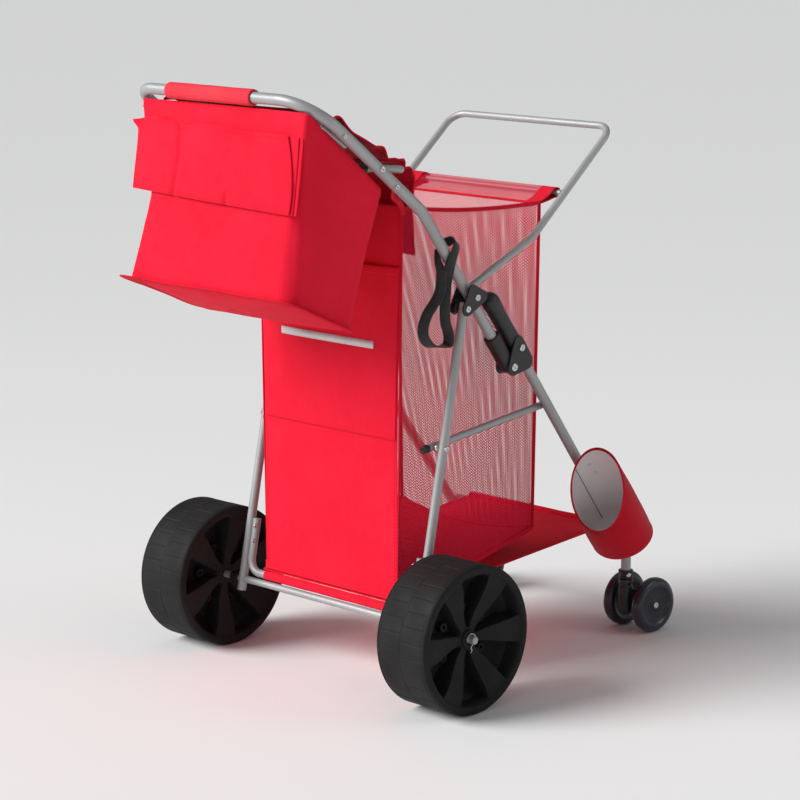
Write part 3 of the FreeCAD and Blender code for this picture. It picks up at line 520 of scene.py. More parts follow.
# ------------------------------------------------------------------ rear wheels
WHEEL_X, WHEEL_WIDTH, WHEEL_R, RIM_R, BORE_R = 242.4, 110.6, 127.0, 112.0, 6.6
LUGS, VANES, BOSS_R, INNER_PHASE = 30, 6, 52, 0.35


def step(value, low, high):
    t = np.clip((value - low) / (high - low), 0, 1)
    return t * t * (3 - 2 * t)


def face_depth(radius, angle, hub_depth):
    """How far a wheel's face lies below its rim: six raised vanes between deep pockets."""
    turn = (angle * VANES / (2 * math.pi)) % 1.0
    off_centre = np.abs(turn - 0.5) * 2 * math.pi / VANES * radius
    half = 6.5 + (radius - 20) * 0.19
    wall = 2.0 + (radius - 20) * 0.01
    raised = 1 - step(off_centre, half, half + wall)
    vane = hub_depth - (hub_depth - 4.5) * step(radius, 24, 106)
    lip = step(radius, 107, 111.5)
    pocket = hub_depth + 22 * step(radius, 17, 30) - 16 * step(radius, 84, 109)
    hub = 1 - step(radius, 15, 18.5)
    raised = np.maximum(raised * step(radius, 15, 21), hub)
    depth = raised * vane + (1 - raised) * pocket
    depth = np.where(radius < 17, hub_depth, depth)
    return depth * (1 - lip) + 3.0 * lip


def rear_wheel(side, sign):
    around = LUGS * 24
    radii = np.concatenate([
        [BORE_R], np.linspace(9, 15, 4), np.linspace(16.2, 22, 6), np.linspace(25, 92, 22),
        np.linspace(93.5, 111.2, 14),
    ])
    lip = [(RIM_R + 0.8, 1.4), (RIM_R + 1.8, 0.4), (RIM_R + 3.2, 0.0), (120.6, 0.0), (122.8, 0.3),
           (124.8, 1.3), (126.1, 2.8), (126.8, 4.6)]
    half_tread = [6.0, 7.4, 8.2, 14, 20, 27, 34, 41, 47, 51.2, 52.6, 53.6]
    rows = []
    for r in radii:
        rows.append(("outer", r, 0.0))
    for r, depth in lip:
        rows.append(("outer_lip", r, depth))
    for x in half_tread:
        rows.append(("tread", 0.0, WHEEL_WIDTH - x))
    for x in (WHEEL_WIDTH / 2 + 0.6, WHEEL_WIDTH / 2 - 0.6):
        rows.append(("tread", 0.0, x))
    for x in reversed(half_tread):
        rows.append(("tread", 0.0, x))
    for r, depth in reversed(lip):
        rows.append(("inner_lip", r, depth))
    for r in radii[::-1]:
        rows.append(("inner", r, 0.0))
    angle = np.linspace(0, 2 * math.pi, around, endpoint=False)
    points = np.zeros((len(rows), around, 3))
    for i, (kind, r, value) in enumerate(rows):
        if kind in ("outer", "inner"):
            phase = 0.0 if kind == "outer" else INNER_PHASE
            depth = face_depth(np.full(around, r), angle + phase, 21.0)
            x = WHEEL_WIDTH - depth if kind == "outer" else depth
            radius = np.full(around, r)
        elif kind == "tread":
            first = value > WHEEL_WIDTH / 2
            edge = min(abs(value - WHEEL_WIDTH / 2), WHEEL_WIDTH / 2 - 6.6 - abs(value - WHEEL_WIDTH / 2))
            lug = (angle / (2 * math.pi) * LUGS + (0.0 if first else 0.5)) % 1.0
            row_number = np.floor(angle / (2 * math.pi) * LUGS + (0.0 if first else 0.5))
            groove = 1 - step(np.minimum(lug, 1 - lug), 0.01, 0.055)
            shut = step(np.float64(edge), 0.3, 2.2)
            tall = 0.55 + 0.45 * ((row_number % 3) != 1)
            radius = WHEEL_R - 0.1 - 0.9 * (1 - shut * (1 - groove) * tall)
            x = np.full(around, value)
        else:
            x = np.full(around, WHEEL_WIDTH - value if kind == "outer_lip" else value)
            radius = np.full(around, r)
        points[i, :, 0] = sign * (WHEEL_X + x)
        points[i, :, 1] = radius * np.sin(angle)
        points[i, :, 2] = AXLE_Z + radius * np.cos(angle)
    body = (points.reshape(-1, 3), grid_faces(len(rows), around, True, True))
    parts = [body]
    for end, x_face, phase in ((1, WHEEL_WIDTH, 0.0), (-1, 0.0, INNER_PHASE)):
        for k in range(VANES):
            a = 2 * math.pi * k / VANES - phase
            boss = [(-6, 3.0), (8.5, 3.0), (9.2, 3.8), (9.2, 7.2), (8.2, 8.4), (-6, 9.2)]
            spot = (sign * (WHEEL_X + x_face - end * 42), BOSS_R * math.sin(a),
                    AXLE_Z + BOSS_R * math.cos(a))
            parts.append(turned(boss, 20, spot, (sign * end, 0, 0)))
    hub_ring = rounded_profile([(-3, 7.2), (3.0, 7.2), (3.0, 15.5), (-3, 16.5)], [0, 1, 2, 0])
    parts.append(turned(hub_ring, 48, (sign * (WHEEL_X + WHEEL_WIDTH - 20), 0, AXLE_Z), (sign, 0, 0)))
    points, faces = merged(parts)
    name = f"rear_wheel_{side}"
    obj = mesh_object(f"wheel_{side}", points, faces, WHEEL, name, "wheel_plastic")
    obj.data.set_sharp_from_angle(angle=math.radians(38))
    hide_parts(name)


def axle_clip(side, sign):
    """The washer, and the spring pin with its ring that keeps the wheel on."""
    x = WHEEL_X + WHEEL_WIDTH - 24 + 2.3
    washer = turned(rounded_profile([(0, 6.5), (2, 6.5), (2, 12), (0, 12)], [0, 0.4, 0.6, 0.6], 2), 40,
                    (sign * x, 0, AXLE_Z), (sign, 0, 0))
    cap = turned([(2, 0.2), (13.0, 0.2), (13.6, 1.3), (13.8, 3.2), (13.4, 4.6), (12.4, 5.3), (2, 6.4)],
                 32, (sign * x, 0, AXLE_Z), (sign, 0, 0))
    turns = np.linspace(0, 2 * math.pi, 48, endpoint=False)
    ring = np.stack([np.full(48, sign * (x + 8.0)) + sign * 1.5 * np.sin(turns), 7.6 * np.sin(turns) + 1,
                     129 + 7.6 * np.cos(turns)], 1)
    loop = cord_mesh(ring, 0.9, 8, True)
    leg = smooth_line([(sign * (x + 9), 4, 122), (sign * (x + 10), 1, 118), (sign * (x + 9), -1.5, 113),
                       (sign * (x + 9), 1, 109), (sign * (x + 9.5), -3, 105)], 30)
    points, faces = merged([washer, cap, loop, cord_mesh(leg, 0.9, 8)])
    obj = mesh_object(f"clip_{side}", points, faces, ZINC, "rear_legs", "zinc_rivet")
    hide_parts(f"axle_clip_{side}")


for wheel_side, wheel_sign in SIDES:
    rear_wheel(wheel_side, wheel_sign)
    axle_clip(wheel_side, wheel_sign)


# ------------------------------------------------------------------ casters
TURN = math.radians(-3)
STEM_Y, GAUGE, TRAIL, CASTER_R = 556.0, 70.0, 36.0, 50.8


def caster_point(sign, x, y, z):
    return (sign * RAIL_X + x * math.cos(TURN) - y * math.sin(TURN),
            STEM_Y + x * math.sin(TURN) + y * math.cos(TURN), z)


def casters():
    axis = np.array([math.cos(TURN), math.sin(TURN), 0])
    for side, sign in SIDES:
        for place, end in (("inner", -sign), ("outer", sign)):
            name = f"caster_wheel_{side}_{place}"
            centre = caster_point(sign, end * GAUGE / 2, TRAIL, CASTER_R)
            half = rounded_profile([(8.2, 32.5), (10.8, 37), (10.9, 41), (9.6, 46.5), (5.6, 50.1),
                                    (0, 50.8)],
                                   [0, 0, 0, 0, 0, 0])
            tyre_half = smooth_line(half, 16)
            tyre = np.concatenate([tyre_half, tyre_half[-2::-1] * (-1, 1)])
            tyre = np.concatenate([tyre, [(-6.5, 31.5), (6.5, 31.5)]])
            obj = mesh_object(f"tyre_{side}_{place}", *turned(tyre, 72, centre, axis), TYRE, name,
                              "caster_tyre")
            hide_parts(name)
            disc = [(-5.6, 3.2), (-8.2, 3.2), (-8.2, 7.5), (-6.0, 9.5), (-4.6, 14), (-4.9, 24),
                    (-6.8, 30), (-8.0, 32.6),
                    (8.0, 32.6), (6.8, 30), (4.9, 24), (4.6, 14), (6.0, 9.5), (8.2, 7.5), (8.2, 3.2),
                    (5.6, 3.2)]
            hub = turned(disc, 64, centre, axis)
            hub_obj = mesh_object(f"caster_hub_{side}_{place}", *hub, HUB, name, "caster_tyre")
            hub_obj.data.set_sharp_from_angle(angle=math.radians(50))
        body = f"caster_{side}"
        up = (0, 0, 1)
        post_profile = rounded_profile(
            [(38.2, 0.3), (38.2, 12.4), (43, 13.2), (86, 13.2), (88, 11.8), (91, 11.8), (93, 13.0),
             (100.4, 13.0), (100.4, 5.3), (62.4, 5.3), (62.4, 0.3)],
            [0, 1.5, 2, 1.2, 0.8, 0.8, 1.2, 1.2, 0.4, 0, 0], 3)
        post = turned(post_profile, 56, (sign * RAIL_X, STEM_Y, 0), up)
        body_obj = mesh_object(f"caster_post_{side}", *post, BLACK, body, "black_plastic")
        body_obj.data.set_sharp_from_angle(angle=math.radians(35))
        outline = hull([(12, 54, 6), (TRAIL, CASTER_R, 12), (12, 74, 6)], 8)
        for k, (x_from, x_to) in enumerate(((-13, -7.5), (-4, 4), (7.5, 13))):
            flat_points, flat_faces = extruded(outline, x_from, x_to)
            placed = [caster_point(sign, x, y, z) for x, y, z in flat_points]
            arm = mesh_object(f"caster_arm_{side}_{k}", placed, flat_faces, BLACK, body, "black_plastic")
            bevelled(arm, 1.2)
        sleeve = turned(rounded_profile([(-14, 3.2), (14, 3.2), (14, 9), (-14, 9)], [0, 0, 1, 1], 3), 40,
                        caster_point(sign, 0, TRAIL, CASTER_R), axis)
        mesh_object(f"caster_sleeve_{side}", *sleeve, BLACK, body, "black_plastic")
        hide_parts(f"caster_body_{side}")
        reach = GAUGE / 2 + 11 - 3.5
        parts = []
        for end in (-1, 1):
            head = [(-3, 2.6), (0.1, 2.6), (0.1, 6.2), (1.4, 6.2), (2.6, 4.6), (2.9, 2.2), (2.0, 1.4),
                    (2.0, 0.2), (-3, 0.2)]
            parts.append(turned(head, 24, caster_point(sign, end * reach, TRAIL, CASTER_R), axis * end))
        parts.append(turned([(-reach, 0.2), (-reach, 2.9), (reach, 2.9), (reach, 0.2)], 24,
                            caster_point(sign, 0, TRAIL, CASTER_R), axis))
        axle = mesh_object(f"caster_bolt_{side}", *merged(parts), ZINC, body, "zinc_rivet")
        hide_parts(f"caster_axle_{side}")


def collars():
    """The plug at each leg's foot: two moulded rings, with the bolt beside it."""
    for side, sign in SIDES:
        profile = rounded_profile(
            [(101.6, 5.2), (101.6, 12.6), (105.5, 12.6), (107, 10.6), (111.5, 10.6), (113, 13.8),
             (116.8, 13.8), (116.8, 9.1), (104.6, 9.1), (104.6, 5.2)],
            [0, 1, 1, 0.6, 0.6, 1, 1.4, 0, 0, 0], 3)
        cup = turned(profile, 48, (sign * RAIL_X, STEM_Y, 0), (0, 0, 1))
        stem = turned([(62.2, 0.2), (62.2, 4.9), (103, 4.9), (103, 0.2)], 24,
                      (sign * RAIL_X, STEM_Y, 0), (0, 0, 1))
        obj = mesh_object(f"collar_{side}", *merged([cup, stem]), BLACK, "front_legs", "black_plastic")
        obj.data.set_sharp_from_angle(angle=math.radians(35))
        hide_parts(f"stem_collar_{side}")
        bolt = [(-4, 0.2), (-4, 2.4), (0, 2.4), (0, 4.6), (1.6, 4.4), (2.8, 3.0), (3.1, 0.2)]
        mesh_object(f"collar_bolt_{side}", *turned(bolt, 24, (sign * RAIL_X + 10.5, STEM_Y - 5, 109),
                                                   (0.9, -0.42, 0)),
                    ZINC, "front_legs", "zinc_rivet")


casters()
collars()


# ------------------------------------------------------------------ brackets, joints, rivets
def capsule(start, end, half_x, half_out, direction, steps=26, section=28, power=2.6):
    """A moulded lever: a rounded-square section from start to end with a domed start."""
    points = []
    total = math.hypot(end[1] - start[1], end[2] - start[2])
    along = np.array([0, (end[1] - start[1]) / total, (end[2] - start[2]) / total])
    out = np.array([0, *direction])
    angles = np.linspace(0, 2 * math.pi, section, endpoint=False)
    dome = half_out
    stations = [dome * (1 - math.cos(t)) for t in np.linspace(0.12, math.pi / 2, 9)]
    stations += list(np.linspace(dome, total, steps)[1:])
    for s in stations:
        shrink = math.sqrt(max(0.0, 1 - (1 - s / dome) ** 2)) if s < dome else 1.0
        for a in angles:
            c, d = math.cos(a), math.sin(a)
            x = half_x * math.copysign(abs(c) ** (2 / power), c) * shrink
            o = half_out * math.copysign(abs(d) ** (2 / power), d) * shrink
            points.append(np.array(start) + along * s + np.array([x, 0, 0]) + out * o)
    n = len(stations)
    faces = grid_faces(n, section, False, True)
    faces.append(tuple(range(section))[::-1])
    faces.append(tuple(range((n - 1) * section, n * section)))
    return np.array(points), faces


def rivet_set(name, spot, x_from, x_to, shaft, head, tall, body, node):
    """A tubular rivet: a round head with a dimple at each end."""
    parts = [turned([(x_from, 0.2), (x_from, shaft), (x_to, shaft), (x_to, 0.2)], 28, (0, *spot),
                    (1, 0, 0))]
    for x, end in ((x_from, -1), (x_to, 1)):
        profile = [(-0.6, 0.2), (-0.6, head - 0.6), (0.1, head), (tall * 0.55, head * 0.94),
                   (tall * 0.9, head * 0.72),
                   (tall, head * 0.5), (tall * 0.8, head * 0.36), (tall * 0.15, head * 0.30),
                   (tall * 0.1, 0.2)]
        parts.append(turned(profile, 32, (x, *spot), (end, 0, 0)))
    obj = mesh_object(name, *merged(parts), ZINC, body, "zinc_rivet")
    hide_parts(node)
    return obj


def frame_joints():
    for side, sign in SIDES:
        def mirrored(x_from, x_to):
            return (x_from, x_to) if sign > 0 else (-x_to, -x_from)

        around = [(*LEG_PIVOT, 12.3), (*beside(HOOP_PIVOT, 8, 12), 10), (*beside(HOOP_PIVOT, -18, 0), 9)]
        outline = hull(around, 12)
        first = None
        for k, (a, b) in enumerate(((226.5, 230.0), (198.3, 200.0))):
            obj = mesh_object(f"bracket_plate_{side}_{k}", *extruded(outline, *mirrored(a, b)), BLACK,
                              "upper_frame", "black_plastic")
            bevelled(obj, 0.9 if k == 0 else 0.5)
            first = first or obj
        web_parts = [
            turned([(219.4, 3.1), (219.4, 8), (226.6, 8), (226.6, 3.1)], 32, (0, *HOOP_PIVOT),
                   (sign, 0, 0)),
            turned([(199.9, 3.1), (199.9, 9), (209.5, 9), (209.5, 3.1)], 32, (0, *LEG_PIVOT), (sign, 0, 0)),
            turned([(199.9, 0.3), (199.9, 5), (226.6, 5), (226.6, 0.3)], 24,
                   (0, *beside(HOOP_PIVOT, 8, 16)), (sign, 0, 0)),
        ]
        mesh_object(f"bracket_web_{side}", *merged(web_parts), BLACK, "upper_frame", "black_plastic")
        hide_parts(f"bracket_{side}")
        for what, spot, a, b, shaft, head, tall, node in (
            ("leg", LEG_PIVOT, 198.1, 230.1, 2.9, 5.8, 1.5, f"leg_pin_{side}"),
            ("hoop", HOOP_PIVOT, 184.6, 230.1, 2.9, 6.0, 2.0, f"hoop_pin_{side}"),
            ("fold", FOLD, 193.8, 225.8, 3.9, 7.4, 2.0, f"fold_pin_{side}"),
            ("tote", TOTE_PIVOT, 186.8, 219.4, 2.9, 5.6, 2.0, f"tote_pin_{side}"),
            ("brace", BRACE_REAR, 187.1, 226.1, 2.9, 6.0, 2.0, f"brace_pin_{side}"),
        ):
            body = "rear_legs" if what == "brace" else "upper_frame"
            obj = rivet_set(f"rivet_{what}_{side}", spot, *mirrored(a, b), shaft, head, tall, body, node)
            if what == "brace":
                spacer = turned([(200.2, 3.0), (200.2, 7), (209.7, 7), (209.7, 3.0)], 28, (0, *spot),
                                (sign, 0, 0))
                mesh_object(f"brace_spacer_{side}", *spacer, ZINC, body, "zinc_rivet")
        sleeve_top, sleeve_low = beside(FOLD, -72, 0), beside(FOLD, 10, 0)
        body_points, body_faces = capsule((sign * RAIL_X, *sleeve_low), (sign * RAIL_X, *sleeve_top),
                                          12.4, 13.6,
                                          OUT, 14, 36, 3.0)
        sleeve = mesh_object(f"sleeve_{side}", body_points, body_faces, BLACK, "upper_frame",
                             "black_plastic")
        bevelled(sleeve, 1.4, 3, 50)
        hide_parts(f"fold_sleeve_{side}")
        lever_top, lever_low = beside(FOLD, -138.0, 34), beside(FOLD, 22, 34)
        lever_points, lever_faces = capsule((sign * RAIL_X, *lever_top), (sign * RAIL_X, *lever_low),
                                            14.5, 15.5,
                                            OUT, 30, 36, 2.5)
        stretch = (lever_points[:, 1] - FOLD[0]) * ALONG[0] + (lever_points[:, 2] - FOLD[1]) * ALONG[1]
        waist = 1 - 0.10 * np.clip(np.sin((stretch + 118) / 96 * math.pi), 0,
                                   1) * (stretch > -118) * (stretch < -22)
        across = (lever_points[:, 1] - FOLD[0]) * OUT[0] + (lever_points[:, 2] - FOLD[1]) * OUT[1] - 34
        shift = across * (waist - 1)
        lever_points[:, 1] += shift * OUT[0]
        lever_points[:, 2] += shift * OUT[1]
        lever_points[:, 0] = sign * RAIL_X + (lever_points[:, 0] - sign * RAIL_X) * (1 - (1 - waist) * 0.6)
        lever = mesh_object(f"lever_{side}", lever_points, lever_faces, BLACK, "front_legs",
                            "black_plastic")
        bevelled(lever, 1.2, 3, 50)
        cheek = hull([(*beside(FOLD, -26, 34), 12.5), (*FOLD, 14.8), (*beside(FOLD, 14, 30), 15)], 12)
        for k, (a, b) in enumerate(((222.2, 225.6), (194.0, 197.3))):
            plate = mesh_object(f"cheek_{side}_{k}", *extruded(cheek, *mirrored(a, b)), BLACK,
                                "front_legs", "black_plastic")
            bevelled(plate, 1.1)
        web = hull([(*beside(FOLD, -26, 34), 9.4), (*beside(FOLD, 14, 34), 9.4)], 10)
        mesh_object(f"housing_web_{side}", *extruded(web, *mirrored(196, 224)), BLACK, "front_legs",
                    "black_plastic")
        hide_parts(f"leg_housing_{side}")
        bolt_spot = beside(FOLD, -14, 34)
        head = [(-3, 0.2), (-3, 2.8), (0.0, 2.8), (0.0, 6.4), (1.2, 6.2), (1.9, 4.6), (1.9, 3.0),
                (0.8, 2.2), (0.8, 0.2)]
        mesh_object(f"housing_rivet_{side}", *turned(head, 28, (sign * 225.6, *bolt_spot), (sign, 0, 0)),
                    ZINC, "front_legs", "zinc_rivet")
        for k, (spot, body, x, radius) in enumerate((
            ((-169, 962.6), "upper_frame", 219.3, 4.2), ((-50.5, 872.4), "upper_frame", 219.3, 4.4),
            ((11.1, 225.2), "rear_legs", 195.7, 4.0), ((6.6, 198.5), "rear_legs", 195.7, 4.0),
        )):
            outward = -sign if k > 1 else sign
            small = [(-1.2, 0.2), (-1.2, radius), (0.2, radius), (1.0, radius * 0.86), (1.3, radius * 0.6),
                     (0.8, radius * 0.42), (-0.4, radius * 0.34), (-0.4, 0.2)]
            mesh_object(f"stud_{side}_{k}", *turned(small, 24, (sign * x, *spot), (outward, 0, 0)),
                        ZINC, body, "zinc_rivet")
        direction = np.array([0, BRACE_FRONT[0] - BRACE_REAR[0], BRACE_FRONT[1] - BRACE_REAR[1]])
        direction /= np.linalg.norm(direction)
        tail = np.array([sign * 193.6, *BRACE_REAR]) - direction * 24
        profile = rounded_profile([(-1.0, 0.2), (-1.0, 6.9), (12, 6.9), (12, 6.35), (0.5, 6.35),
                                   (0.5, 0.2)],
                                  [0, 1.4, 0.5, 0, 0, 0], 3)
        mesh_object(f"brace_cap_{side}", *turned(profile, 32, tail, direction), BLACK, "braces",
                    "black_plastic")


frame_joints()


# ------------------------------------------------------------------ net, seams and stitches
def soft_object(name, points, faces, material, slot="red_cloth", blend=None, body=None):
    """A mesh from millimetre points that follows one body, or with no body stays fixed where it is."""
    if body:
        return mesh_object(name, points, faces, material, body, slot)
    obj = mesh_object(name, points, faces, material, None, slot)
    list(blend)
    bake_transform(obj)
    return obj


def inside(outline, x, y):
    """Which of the points (x, y) lie inside a closed outline."""
    found = np.zeros(len(x), bool)
    for (x0, y0), (x1, y1) in zip(outline, np.roll(outline, -1, 0)):
        if y0 == y1:
            continue
        crosses = (y0 > y) != (y1 > y)
        found ^= crosses & (x < x0 + (y - y0) * (x1 - x0) / (y1 - y0))
    return found


def net_mesh(outline, place, cell=(8.0, 5.2), hole=0.70):
    """Knitted mesh: staggered diamond holes cut to a flat outline, then placed in space."""
    wide, tall = cell
    outline = np.asarray(outline, float)
    low, high = outline.min(0), outline.max(0)
    columns = np.arange(low[0], high[0] + wide, wide)
    rows = np.arange(low[1], high[1] + tall, tall)
    first = np.stack(np.meshgrid(columns, rows, indexing="ij"), -1).reshape(-1, 2)
    centres = np.concatenate([first, first + (wide / 2, tall / 2)])
    centres = centres[inside(outline, centres[:, 0], centres[:, 1])]
    ring = np.array([(wide / 2, 0), (0, tall / 2), (-wide / 2, 0), (0, -tall / 2)])
    corners = np.concatenate([ring, ring * hole])
    flat = (centres[:, None, :] + corners[None, :, :]).reshape(-1, 2)
    points = place(flat[:, 0], flat[:, 1])
    base = np.arange(len(centres))[:, None] * 8
    quads = [base + np.array([k, (k + 1) % 4, 4 + (k + 1) % 4, 4 + k]) for k in range(4)]
    return points, np.stack(quads, 1).reshape(-1, 4)


def strip(line, across, half, thick=1.2):
    """A flat tape along a line, folded over an edge: across gives its width's direction."""
    line = np.asarray(line, float)
    tangents = np.gradient(line, axis=0)
    tangents /= np.linalg.norm(tangents, axis=1)[:, None]
    wide = np.broadcast_to(np.asarray(across, float), line.shape)
    wide = wide - tangents * np.sum(wide * tangents, 1)[:, None]
    wide /= np.linalg.norm(wide, axis=1)[:, None]
    out = np.cross(tangents, wide)
    section = [(-1, -0.5), (-0.86, -1), (0.86, -1), (1, -0.5), (1, 0.5), (0.86, 1), (-0.86, 1), (-1, 0.5)]
    rings = np.stack([line + wide * a * half + out * b * thick for a, b in section], 1)
    faces = grid_faces(len(line), 8, False, True)
    faces += [tuple(range(8))[::-1], tuple(range((len(line) - 1) * 8, len(line) * 8))]
    return rings.reshape(-1, 3), faces


def stitches(line, pitch=6.5, length=4.2, radius=0.55, lift=(0, 0, 0)):
    """A row of lockstitches along a line."""
    line = np.asarray(line, float) + np.asarray(lift, float)
    steps = np.concatenate([[0], np.cumsum(np.linalg.norm(np.diff(line, axis=0), axis=1))])
    count = max(2, int(steps[-1] / pitch))
    at = (np.arange(count) + 0.5) * steps[-1] / count
    parts = []
    for s in at:
        ends = [np.array([np.interp(s + d, steps, line[:, k]) for k in range(3)]) for d in (-length / 2,
                                                                                            length / 2)]
        along = ends[1] - ends[0]
        along /= np.linalg.norm(along)
        side = np.cross(along, (0.3, 0.5, 0.81))
        side /= np.linalg.norm(side)
        up = np.cross(along, side)
        middle = (ends[0] + ends[1]) / 2
        belt = [middle + radius * v for v in (side, up, -side, -up)]
        points = [ends[0], *belt, ends[1]]
        faces = [(0, 1, 2), (0, 2, 3), (0, 3, 4), (0, 4, 1), (5, 2, 1), (5, 3, 2), (5, 4, 3), (5, 1, 4)]
        parts.append((points, faces))
    return merged(parts)


# ------------------------------------------------------------------ the bag
BAG_REAR, BAG_FRONT, BAG_TOP, BAR = 8.0, 350.0, 806.0, (393.0, 821.0)
BAG_SHARE = ("upper_frame", "front_hoop", tuple(P(0, 212, 634)), tuple(P(0, 384, 812)))


def bag_half(z):
    return lerp(160.5, 171.5, np.clip((z - 158) / 674, 0, 1))


def across_bag(y):
    return np.clip((y - BAG_REAR) / (BAG_FRONT - BAG_REAR), 0, 1)


def rim_height(y):
    return lerp(828, 806, across_bag(y)) - 7 * np.sin(np.pi * across_bag(y))


def hem_height(y):
    return lerp(158.0, 225.0, across_bag(y)) - 5 * np.sin(np.pi * across_bag(y))


def front_hem(x):
    return 225.0 - 21 * (1 - np.clip(np.abs(x) / 162, 0, 1) ** 2)


def side_place(sign):
    def place(y, z):
        along, up = across_bag(y), np.clip((z - 158) / 660, 0, 1)
        sink = 6 * np.sin(np.pi * along) * np.sin(np.pi * up)
        pleat = (0.15 * np.sin(y / 11.5 + 1.2 * np.sin(z / 90)) * (1 - up) ** 1.2
                 * np.sin(np.pi * along) ** 0.5)
        slack = 0.3 * np.sin(z / 74 + y / 130) * np.sin(np.pi * along)
        return np.stack([sign * (bag_half(z) - sink + pleat + slack), y, z], 1)
    return place


def front_place(x, z):
    up = np.clip((z - 204) / 600, 0, 1)
    belly = 6 * np.cos(np.clip(x / 165, -1, 1) * math.pi / 2) * np.sin(np.pi * up)
    pleat = 0.4 * np.sin(x / 12 + np.sin(z / 80)) * (1 - up)
    return np.stack([x, BAG_FRONT - belly + pleat * np.cos(np.clip(x / 165, -1, 1) * math.pi / 2), z], 1)


def bar_path(x, count=40):
    """Side-view loop of the sleeve that runs from the front panel round the cross bar and back."""
    y, z = BAR
    r = 9.4
    loop = [(BAG_FRONT, 804), (370, 807.5), (388, z - r + 1.0), (395, z - r), (y + r * 0.8, z - r * 0.6),
            (y + r, z), (y + r * 0.7, z + r * 0.7), (y, z + r), (y - 7, z + r - 1.2), (372, 818),
            (BAG_FRONT, 808.5)]
    line = smooth_line([(0, *p) for p in loop], count)
    line[:, 0] = x
    return line


def bag():
    first = None
    for side, sign in SIDES:
        ys = np.linspace(BAG_REAR, BAG_FRONT, 30)
        outline = [(y, hem_height(y)) for y in ys] + [(y, rim_height(y)) for y in ys[::-1]]
        points, faces = net_mesh(outline, side_place(sign))
        net = soft_object(f"bag_net_{side}", points, faces, RED_NET, blend=BAG_SHARE)
        first = first or net
        place = side_place(sign)
        rim = place(ys, rim_height(ys))
        hem = place(ys, hem_height(ys))
        zs = np.linspace(hem_height(BAG_FRONT), 806, 60)
        front_edge = np.stack([sign * bag_half(zs), np.full(60, BAG_FRONT), zs], 1)
        zs = np.linspace(158, 828, 60)
        rear_edge = np.stack([sign * (bag_half(zs) + 1.0), np.full(60, BAG_REAR), zs], 1)
        parts = [
            strip(rim, (0, 0, 1), 3.2), strip(hem, (0, 0, 1), 4.5), strip(front_edge, (0, 1, 0), 3.4),
            cord_mesh(front_edge + (sign * 0.6, 1.2, 0), 1.9, 8), cord_mesh(rear_edge, 2.1, 8),
            cord_mesh(rim + (0, 0, 2.9), 1.3, 8), cord_mesh(hem - (0, 0, 4), 1.8, 8),
        ]
        soft_object(f"bag_binding_{side}", *merged(parts), RED_TRIM, blend=BAG_SHARE)
        rows = merged([stitches(rim, lift=(sign * 1.5, 0, -2.6)), stitches(hem, lift=(sign * 1.4, 0, 2.0)),
                       stitches(front_edge, lift=(sign * 1.5, -1.4, 0))])
        soft_object(f"bag_stitch_{side}", *rows, THREAD, blend=BAG_SHARE)
    xs = np.linspace(-1, 1, 40)
    outline = [(x * bag_half(front_hem(x * 162)), front_hem(x * 162)) for x in xs]
    outline += [(x * bag_half(z), z) for x, z in [(1, z) for z in np.linspace(235, 806, 12)]]
    outline += [(-bag_half(z), z) for z in np.linspace(806, 235, 12)]
    points, faces = net_mesh(outline, front_place)
    soft_object("bag_net_front", points, faces, RED_NET, blend=BAG_SHARE)
    across = np.linspace(-bag_half(225), bag_half(225), 60)
    hem_line = np.stack([across, np.full(60, BAG_FRONT), front_hem(across)], 1)
    top = np.linspace(-171, 171, 60)
    top_line = np.stack([top, np.full(60, BAG_FRONT), np.full(60, BAG_TOP)], 1)
    parts = [strip(hem_line, (0, 0, 1), 4.8), cord_mesh(hem_line - (0, 0, 4.2), 1.8, 8),
             strip(top_line, (0, 0, 1), 2.5)]
    soft_object("bag_front_binding", *merged(parts), RED_TRIM, blend=BAG_SHARE)

    # the sleeve round the cross bar: net between two solid end patches
    path = bar_path(0, 60)
    length = np.concatenate([[0], np.cumsum(np.linalg.norm(np.diff(path, axis=0), axis=1))])

    def sleeve_place(x, s):
        y = np.interp(s, length, path[:, 1])
        z = np.interp(s, length, path[:, 2])
        return np.stack([x, y, z], 1)

    flat = [(-147, 1), (147, 1), (147, length[-1] - 1), (-147, length[-1] - 1)]
    soft_object("bar_sleeve_net", *net_mesh(flat, sleeve_place, (8.0, 5.6), 0.72), RED_NET, blend=BAG_SHARE)
    patches = []
    for sign in (1, -1):
        grid = []
        for i in range(40):
            for j in range(10):
                x = lerp(142, 172 + 3.0 * math.sin(math.pi * i / 39), j / 9)
                s = length[-1] * i / 39
                point = sleeve_place(np.array([sign * x]), np.array([s]))[0]
                point += (0, 0, 0.8 * wobble(x, s * 3, 0, 30, sign))
                grid.append(point)
        patches.append((grid, grid_faces(40, 10)))
    ends = soft_object("bar_sleeve_ends", *merged(patches), RED_TRIM, blend=BAG_SHARE)
    modifier(ends, "SOLIDIFY", thickness=0.0016, offset=1)
    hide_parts("main_bag")


PANEL_FOOT, PANEL_TOP = 157.5, 832
POUCH_FOOT, POUCH_TOP = 434, 729
STRIP_EDGES = (586.5, 599.5)


